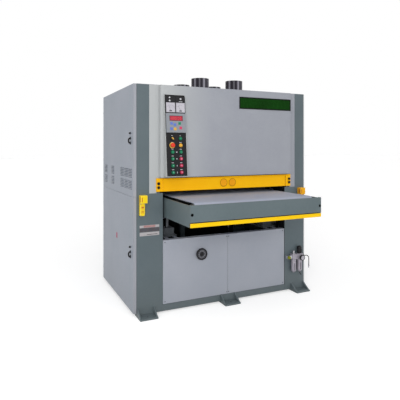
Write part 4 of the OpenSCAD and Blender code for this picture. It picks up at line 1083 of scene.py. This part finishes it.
def addMeters(shape):
    low, high = consoleSpan("panel_meters")
    front, back = low.y, high.y
    split = low.z + (high.z - low.z) * shape["faceShare"]
    pivot = low.z + shape["pivot"]
    wall, lid, bezel = shape["wall"], split - shape["lid"], front + shape["bezel"]
    mesh = newMesh()
    ticks = []
    for x0, x1 in ((low.x, -shape["gap"]), (shape["gap"], high.x)):
        middle = (x0 + x1) / 2
        addBox(mesh, (x0, back - shape["case"], low.z), (x1, back, high.z), consoleAt)
        for a, b in (((x0, low.z), (x0 + wall, split)), ((x1 - wall, low.z), (x1, split)),
                     ((x0, low.z), (x1, low.z + wall)), ((x0, lid), (x1, high.z))):
            addBox(mesh, (a[0], front, a[1]), (b[0], bezel, b[1]), consoleAt)
        card = (x0 + wall, front + shape["card"], low.z + wall)
        addBox(mesh, card, (x1 - wall, bezel, lid), consoleAt, 1)
        near, far = (front + depth for depth in shape["yoke"])
        yoke = (middle - shape["yokeHalf"], near, low.z + shape["yokeFoot"])
        addBox(mesh, yoke, (middle + shape["yokeHalf"], far, pivot), consoleAt, 2)
        hub = Matrix.Translation(at(middle, front + shape["needleDepth"], pivot))
        hub = hub @ Matrix.Rotation(math.radians(shape["needleTurn"]), 4, "Y")
        addBox(mesh, *shape["needle"], consoleAt @ hub, 2)
        for angle in map(math.radians, shape["scaleTurns"]):
            across, up = shape["scale"] * math.sin(angle), shape["scale"] * math.cos(angle)
            spot = aim(middle + across, front + shape["scaleDepth"], pivot + up, "-y", consoleAt)
            ticks.append(spot @ Matrix.Rotation(-angle, 4, "Z"))
    foot, head = -front - shape["sunk"], shape["proud"] - front
    for x, share, r in shape["dots"]:
        place = aim(x, 0, split + (high.z - split) * share, "-y", consoleAt)
        addLathe(mesh, [(0, foot), (r, foot), (r, head), (0, head)], place, 24, 3)
    (x0, below), (x1, above) = shape["bar"]
    addBox(mesh, (x0, -head, split + below), (x1, -foot, split + above), consoleAt, 3)
    dress("panel_meters", mesh, [blackPlastic, dialCard, darkPrint, whitePrint], 0.4)
    repeatPiece("meterTicks", bars["tick"], ticks, "frame", darkPrint)


addMeters(meterShape)

keyShape = {
    "size": (25, 24), "proud": 2.2, "sunk": 1, "display": (-61, 109, 61, 150), "bezel": 3, "bezelProud": 1,
    "glassProud": 1.6, "digits": (-40, -22, -4, 22, 40), "segment": (0.9, 4.1), "segmentDepth": (2, 1.5),
    "segments": ((0, 10, 0), (5, 5, 1), (5, -5, 1), (0, -10, 0), (-5, -5, 1), (-5, 5, 1)),  # last: upright
    "keys": ((-46, 82, 3), (-14, 71, 3), (32, 83, 4), (-48, 34, 3), (-13, 32, 5), (41, 42, 6)),
}


def addController(shape):
    low, high = consoleSpan("thickness_controller")
    front = low.y
    mesh = newMesh()
    addBox(mesh, low, high, consoleAt)
    left, foot, right, head = shape["display"]
    foot, head = low.z + foot, low.z + head
    rim, proud = shape["bezel"], shape["bezelProud"]
    addBox(mesh, (left - rim, front - proud, foot - rim), (right + rim, front + 1, head + rim), consoleAt, 1)
    addBox(mesh, (left, front - shape["glassProud"], foot), (right, front, head), consoleAt, 2)
    wide, tall = shape["size"]
    for x, rise, finish in shape["keys"]:
        z = low.z + rise
        keyLow = (x - wide / 2, front - shape["proud"], z - tall / 2)
        addBox(mesh, keyLow, (x + wide / 2, front + shape["sunk"], z + tall / 2), consoleAt, finish)
    finishes = [controllerPlastic, blackPlastic, displayGlass, bluePlastic, greenPlastic, creamPlastic,
                redPlastic]
    dress("thickness_controller", mesh, finishes, 1.2, 3)
    thin, long = shape["segment"]
    near, far = (front - depth for depth in shape["segmentDepth"])
    mesh = newMesh()
    for digit in shape["digits"]:
        for dx, dz, upright in shape["segments"]:
            w, h = (thin, long) if upright else (long, thin)
            x, z = digit + dx, (foot + head) / 2 + dz
            addBox(mesh, (x - w, near, z - h), (x + w, far, z + h), consoleAt)
    addPiece("displayDigits", mesh, [segmentGlow], "frame", width=0.1)


addController(keyShape)
print("console dressed")

# guard switches: moulded body and deeper head, with a bare label
switchShape = {
    "body": 45, "bodyDepth": 38, "head": 62, "headHeight": 70, "gap": 0.2, "screwX": 6, "screwZ": 7,
    "label": (7, 18, 20), "labelProud": 0.4, "barInset": 12, "barProud": 0.8, "lowBar": (34, 42),
    "highBar": (-44, -30), "tabProud": 0.5,
}


def addSwitches(shape):
    low, high = span("guard_switches")
    neck = high.z - shape["headHeight"]
    bodyY = frontY - shape["bodyDepth"]
    mesh = newMesh()
    detail = newMesh()
    bolts = []
    for side in (-1, 1):
        x0, x1 = sorted((side * (high.x - shape["body"]), side * high.x))
        h0, h1 = sorted((side * (high.x - shape["head"]), side * high.x))
        # the right switch takes the oranger yellow, partly its own colour and partly painted shade
        tint = int(side > 0)
        addBox(mesh, (x0, bodyY, low.z), (x1, frontY, neck), finish=tint)
        addBox(mesh, (h0, low.y, neck + shape["gap"]), (h1, frontY, high.z), finish=tint)
        inset, foot, head = shape["label"]
        proud = shape["labelProud"]
        labelLow = (x0 + inset, bodyY - proud, low.z + foot)
        addBox(detail, labelLow, (x1 - inset, bodyY + proud, neck - head), finish=1)
        inset, proud = shape["barInset"], shape["barProud"]
        for z, (foot, head) in ((low.z, shape["lowBar"]), (neck, shape["highBar"])):
            barLow = (x0 + inset, bodyY - proud, z + foot)
            addBox(detail, barLow, (x1 - inset, bodyY, z + head), finish=2)
        proud = shape["tabProud"]  # orange tabs on the left-facing side of the head and on its front; the side tab is painted shade of that side
        sideLow = (h0 - proud, low.y + 14, neck + 14)
        addBox(detail, sideLow, (h0 + proud, low.y + 34, high.z - 14), finish=3)
        addBox(detail, (h0 + 8, low.y - proud, neck + 16), (h0 + 16, low.y + 1, high.z - 18), finish=3)
        xs = (x0 + shape["screwX"], x1 - shape["screwX"])
        zs = (low.z + shape["screwZ"], neck - shape["screwZ"])
        bolts += [aim(x, bodyY, z, "-y") for x in xs for z in zs]
    dress("guard_switches", mesh, [switchPlastic, rightSwitchOrangeAndShade], 4.5, 4)
    finishes = [blackPlastic, labelFilm, orangeMarksAndShade, orangeMarksAndShade]
    addPiece("switchDetails", detail, finishes, "frame", width=0.4)
    addScrewRow("switchScrews", bolts, screwZinc, 0.7)


addSwitches(switchShape)

# air service unit: cast heads, metal bowls, filler dome, valve, elbow and drain
airShape = {
    "half": 66, "bowlPitch": 76, "bowl": 27, "bowlHeight": 137, "height": 56, "depth": 50, "back": 8,
    "stem": 20, "plateHalf": 48, "plateRise": (-28, 52), "valve": 62, "valveHalf": (18, 16),
    "elbow": 26, "elbowHalf": 16.5, "elbowHeight": 34, "gap": 0.2, "slotTurns": (-100, -38),
    "slotHalf": 3, "slotRise": (-112, -38), "drainRadius": 4,
    "drain": ((0, 0), (2, -9), (8, -20), (16, -30), (20, -38)),
    "dome": [(0, 0), (14, 0), (15, 2), (15, 9), (12, 12), (12, 22), (14, 25), (14, 31), (11, 34), (0, 34)],
    "knob": [(0, -20), (7.9, -20), (7.9, 1), (24, 1), (24.8, 3), (24.8, 60), (22.5, 69), (13, 75.5),
             (0, 76)],
    "ribs": (24.7, 0, 16),
    "valveKnob": [(0, -16), (5.9, -16), (5.9, 1), (15.4, 1), (17, 3), (17, 16), (15, 20.5), (9, 22),
                  (0, 21)],
    "valveGrip": ((-2.4, -15, 18), (2.4, 15, 21.9)),
}


def bowlProfile(r, tall):
    nose = [(0, -tall), (r * 0.3, -tall), (r * 0.34, 6 - tall), (r * 0.7, 9 - tall), (r * 0.95, 17 - tall)]
    collar = [(r, 25 - tall), (r, -30), (r - 2, -28), (r - 2, -24), (r, -22), (r, -8)]
    return nose + collar + [(r - 3, -6), (r - 3, 0), (0, 0)]


def addAirUnit(shape):
    valveAt = middleOf("shutoff_knob")
    knobAt = middleOf("regulator_knob")
    x1, y = knobAt.x, knobAt.y
    x0 = x1 - shape["bowlPitch"]
    middle = (x0 + x1) / 2
    top = span("regulator_knob")[0].z + shape["stem"]
    low = top - shape["height"]
    left, right = middle - shape["half"], middle + shape["half"]
    back = frontY - shape["back"]
    front = back - shape["depth"]
    gap, r = shape["gap"], shape["bowl"]
    mesh = newMesh()
    foot, head = (low + rise for rise in shape["plateRise"])
    half = shape["plateHalf"]
    addBox(mesh, (middle - half, back + gap, foot), (middle + half, frontY, head), finish=1)
    addBox(mesh, (left, front, low), (middle - 1, back, top))
    addBox(mesh, (middle + 1, front, low), (right, back, top))
    addBox(mesh, (middle - 4, front + 4, low + 6), (middle + 4, back - 2, top - 6), finish=1)
    deep, tall = shape["valveHalf"]
    valveLow = (left - shape["valve"], y - deep, valveAt.z - tall)
    addBox(mesh, valveLow, (left - gap, y + deep, valveAt.z + tall), finish=2)
    elbowX = right + shape["elbow"]
    half = shape["elbowHalf"]
    addBox(mesh, (right + gap, y - half, low), (elbowX, y + half, low + shape["elbowHeight"]), finish=1)
    end = hoseLow.x - elbowX - gap
    nipple = [(0, 0), (6, 0), (6, 3), (5, 4), (6, 5), (6, end), (0, end)]
    addLathe(mesh, nipple, aim(elbowX + gap, y, nippleZ, "x"), 24, 2)
    half = shape["slotHalf"]
    foot, head = shape["slotRise"]
    for x in (x0, x1):
        addLathe(mesh, bowlProfile(r, shape["bowlHeight"]), aim(x, y, low), 48)
        for slotAt in ringSpots(aim(x, y, low), shape["slotTurns"], (0, 0, 0)):  # over the sight glass
            addBox(mesh, (r - 3, -half, foot), (r + gap, half, head), slotAt, 1)
    addLathe(mesh, shape["dome"], aim(x0, y, top), 40, 2)
    drain = [(x1 + dx, y, low - shape["bowlHeight"] + dz) for dx, dz in shape["drain"]]
    addTube(mesh, drain, shape["drainRadius"], 14, 1)
    dress("air_unit", mesh, [airAlloy, blackPlastic, nickel], 1.8, 3)
    knob = newMesh()
    place = aim(x1, y, top)
    addLathe(knob, shape["knob"], place, 48)
    dress("regulator_knob", knob, [blackPlastic], 0.8)
    ribs = ringSpots(place, range(0, 360, 12), shape["ribs"])
    repeatPiece("regulatorRibs", bars["rib"], ribs, "regulator_knob", blackPlastic)
    knob = newMesh()
    place = aim(valveAt.x, y - deep, valveAt.z, "-y")
    addLathe(knob, shape["valveKnob"], place, 40)
    addBox(knob, *shape["valveGrip"], place)
    dress("shutoff_knob", knob, [limePlastic], 0.8)


addAirUnit(airShape)

gaugeShape = {"stem": 12, "stemRadius": 7, "rim": 6, "sunk": 3, "needleTurn": 50, "hub": 3, "scale": 15}


def addGauge(shape):
    low, high = span("air_gauge")
    middle = middleOf("air_gauge")
    place = aim(middle.x, high.y, middle.z, "-y")
    r = (high.x - low.x) / 2
    deep = high.y - low.y
    stem, thin, hub = shape["stem"], shape["stemRadius"], shape["hub"]
    face, card = r - shape["rim"], deep - shape["sunk"]
    mesh = newMesh()
    case = [(0, 0), (thin, 0), (thin, stem), (r - 3, stem), (r, stem + 3), (r, deep - 3), (r - 2, deep)]
    addLathe(mesh, case + [(face + 1, deep), (face, card)], place, 56)
    addLathe(mesh, [(face, card), (0, card)], place, 56, 1)
    weld(mesh)
    needle = place @ Matrix.Rotation(math.radians(shape["needleTurn"]), 4, "Z")
    addBox(mesh, (-0.8, -5, card + 0.4), (0.8, 16, card + 1), needle)
    addLathe(mesh, [(0, card), (hub, card), (hub, card + 2), (0, card + 2)], place, 20)
    dress("air_gauge", mesh, [blackPlastic, dialCard], 0.4)
    ticks = ringSpots(place, range(-135, 136, 27), (0, shape["scale"], card + 0.1))
    repeatPiece("gaugeTicks", bars["tick"], ticks, "frame", darkPrint)


addGauge(gaugeShape)
print("air unit dressed")

wheelShape = {
    "rim": 12, "hub": 16, "depth": 26, "gap": 8, "shaft": 66, "shaftRadius": 8.9, "ribProud": 1,
    "ribFoot": 7, "scale": 27,
}


def addWheel(shape):
    low, high = span("speed_handwheel")
    middle = middleOf("speed_handwheel")
    place = aim(middle.x, panelLow.y - shape["gap"], middle.z, "-y")
    r = (high.x - low.x) / 2 - shape["ribProud"]
    dish = r - shape["rim"] + 1
    hub, t = shape["hub"], shape["depth"]
    shaft, thin = shape["shaft"], shape["shaftRadius"]
    mesh = newMesh()
    rim = [(0, 0), (r - 6, 0), (r, 5), (r, t - 6), (r - 3, t - 1), (r - 6, t), (dish + 2, t - 1)]
    addLathe(mesh, rim + [(dish, t - 4), (dish, t - 10)], place, 72)
    addLathe(mesh, [(dish, t - 10), (dish - 3, t - 9), (hub + 6, t - 9), (hub + 4, t - 10)], place, 72, 1)
    addLathe(mesh, [(hub + 4, t - 10), (hub, t - 8), (hub, t - 2), (hub - 3, t + 2), (0, t + 2)], place, 72)
    addLathe(mesh, [(0, -shaft), (thin, -shaft), (thin, 1), (0, 1)], place, 32, 2)
    weld(mesh)
    dress("speed_handwheel", mesh, [blackPlastic, darkPrint, machinedSteel], 0.6)
    ribs = ringSpots(place, range(0, 360, 9), (r - 0.2, 0, shape["ribFoot"]))
    repeatPiece("handwheelRibs", bars["rib"], ribs, "speed_handwheel", blackPlastic, 0.42)
    ticks = ringSpots(place, range(0, 360, 30), (0, shape["scale"], t - 9))
    repeatPiece("handwheelTicks", bars["tick"], ticks, "speed_handwheel", whitePrint, 1.8)


addWheel(wheelShape)

# feed table
tableLimits = {"bedDrop": 4.3, "skin": 9, "edge": 1, "side": 0.5, "plunger": 10, "journal": 6, "chamfer": 7}


def tableFinish(centre, normal):  # ground top of the bed, painted shade between the side plates
    if abs(centre.z - beltHigh.z + tableLimits["bedDrop"]) < 1:
        return 1
    return 2 if abs(centre.x) < tableHigh.x - tableLimits["skin"] else 0


def tableFrontFinish(centre, normal):  # painted shade behind the plate and inside its two holes
    edge = tableLimits["edge"]
    within = abs(centre.x) < tableHigh.x - tableLimits["side"]
    within = within and tableLow.z + edge < centre.z < tableHigh.z - edge
    return normal.y > 0.5 or abs(normal.y) < 0.5 and within


def kickFinish(centre, normal):  # bright plungers behind the bar
    return centre.y > tableLow.y + tableLimits["plunger"]


def past(limit):  # bare shaft ends beyond a shell
    return lambda centre, normal: abs(centre.x) > limit


rollerEnd = beltHigh.x + tableLimits["journal"]
refine("table_frame", [tablePaint, machinedSteel, paintedShade], 1.2, tableFinish)
refine("table_front", [tablePaint, paintedShade], 1.4, tableFrontFinish, segments=3,
       sink=tableLimits["chamfer"])
refine("kick_bar", [kickPaint, machinedSteel], 1.4, kickFinish, segments=3)
refine("feed_belt", [beltRubber], 0.6)
for node in ("front_roller", "rear_roller"):
    refine(node, [rollerShell, machinedSteel], 1.0, past(rollerEnd), journals=rollerEnd)
refine("feed_gearmotor", [motorShell], 2.0)
refine("lift_screws", [threadSteel], 1.0)
refine("lift_jacks", [casting], 2.5)

finShape = {"gearmotorRise": 78, "gearmotorRadius": 45, "motorShift": 18, "motorRadius": 127}


def addFins(shape):
    middle = middleOf("feed_gearmotor")
    place = aim(middle.x, middle.y, span("feed_gearmotor")[0].z + shape["gearmotorRise"])
    fins = ringSpots(place, range(0, 360, 15), (shape["gearmotorRadius"], 0, 0))
    repeatPiece("gearmotorFins", bars["fin"], fins, "table", motorShell, 0.5)
    fins = []
    x = middleOf("main_motors").x + shape["motorShift"]
    for end in ("front", "rear"):
        shaft = middleOf(end + "_motor_pulley")
        place = aim(x, shaft.y, shaft.z, "x")
        fins += ringSpots(place, range(0, 360, 10), (shape["motorRadius"], 0, 0))
    repeatPiece("motorFins", bars["fin"], fins, "frame", motorShell)


addFins(finShape)
print("table dressed")

# sanding heads and drives, seen with a door open
drumEnd = span("abrasive_belts")[1].x + 6
refine("head_frames", [casting], 1.5)
refine("abrasive_belts", [abrasive], 0.2)
refine("drive_belts", [blackRubber], 1.0)
for node in ("front_drum", "rear_drum"):
    refine(node, [drumRubber, machinedSteel], 1.0, past(drumEnd), journals=drumEnd)
for node in ("front_tension_roller", "rear_tension_roller", "infeed_roller", "outfeed_roller"):
    refine(node, [rollerShell, machinedSteel], 1.0, past(beltHigh.x + 1))
for node in ("front_motor_pulley", "rear_motor_pulley"):
    refine(node, [machinedSteel], 1.0)
refine("main_motors", [motorShell], 2.0)
for used in templates:
    bpy.data.objects.remove(used)
print("heads dressed")

stageLook = {
    "floor": "#d6d6d6", "floorHalf": 60, "floorGlow": 0.42, "ambient": 0.78, "key": 90, "keySize": 2.4,
    "keyPlace": (-2.9, -5.2, 2.0), "keyAim": (-0.2, -0.5, 0.9), "fill": 0.42, "fillSpread": 60,
    "fillPlace": (0, 0, 5), "fillPitch": 74, "fillYaw": -8,
}
white = (1, 1, 1, 1)


def seenDirectly(tree):  # camera, mirror and glass rays all see the white studio
    path = addNode(tree, "ShaderNodeLightPath", output=None)
    seen = path["Is Camera Ray"]
    for ray in ("Is Glossy Ray", "Is Transmission Ray"):
        seen = addNode(tree, "ShaderNodeMath", {"operation": "MAXIMUM", 0: seen, 1: path[ray]})
    return seen


def addFloor(look):
    mesh = bmesh.new()
    bmesh.ops.create_grid(mesh, x_segments=1, y_segments=1, size=look["floorHalf"])
    data = bpy.data.meshes.new("studioFloor")
    mesh.to_mesh(data)
    mesh.free()
    paper = bpy.data.materials.new("floorPaper")
    paper.use_nodes = True
    tree = paper.node_tree
    tree.nodes.clear()
    matt = addNode(tree, "ShaderNodeBsdfDiffuse", {"Color": linearColor(look["floor"]), "Roughness": 0.9})
    settings = {"operation": "MULTIPLY", 0: seenDirectly(tree), 1: look["floorGlow"]}
    strength = addNode(tree, "ShaderNodeMath", settings)
    glow = addNode(tree, "ShaderNodeEmission", {"Color": white, "Strength": strength})
    both = addNode(tree, "ShaderNodeAddShader", {0: matt, 1: glow})
    addNode(tree, "ShaderNodeOutputMaterial", {"Surface": both}, None)
    data.materials.append(paper)
    floor = bpy.data.objects.new("studioFloor", data)
    scene.collection.objects.link(floor)


def addWorld(look):
    world = bpy.data.worlds.new("studioWorld")
    scene.world = world
    world.use_nodes = True
    tree = world.node_tree
    tree.nodes.clear()
    settings = {"Value": seenDirectly(tree), "To Min": look["ambient"], "To Max": 1.0}
    strength = addNode(tree, "ShaderNodeMapRange", settings)
    back = addNode(tree, "ShaderNodeBackground", {"Color": white, "Strength": strength})
    addNode(tree, "ShaderNodeOutputWorld", {"Surface": back}, None)


def addLamp(name, kind, power, place):
    data = bpy.data.lights.new(name, kind)
    data.energy = power
    lamp = bpy.data.objects.new(name, data)
    lamp.location = place
    scene.collection.objects.link(lamp)
    return lamp


def addLights(look):
    key = addLamp("keyPanel", "AREA", look["key"], look["keyPlace"])
    key.data.size = look["keySize"]
    heading = Vector(look["keyAim"]) - Vector(look["keyPlace"])
    key.rotation_euler = heading.to_track_quat("-Z", "Y").to_euler()
    fill = addLamp("fillSun", "SUN", look["fill"], look["fillPlace"])
    fill.data.angle = math.radians(look["fillSpread"])
    fill.rotation_euler = (math.radians(look["fillPitch"]), 0, math.radians(look["fillYaw"]))


addFloor(stageLook)
addWorld(stageLook)
addLights(stageLook)
print("stage lit")
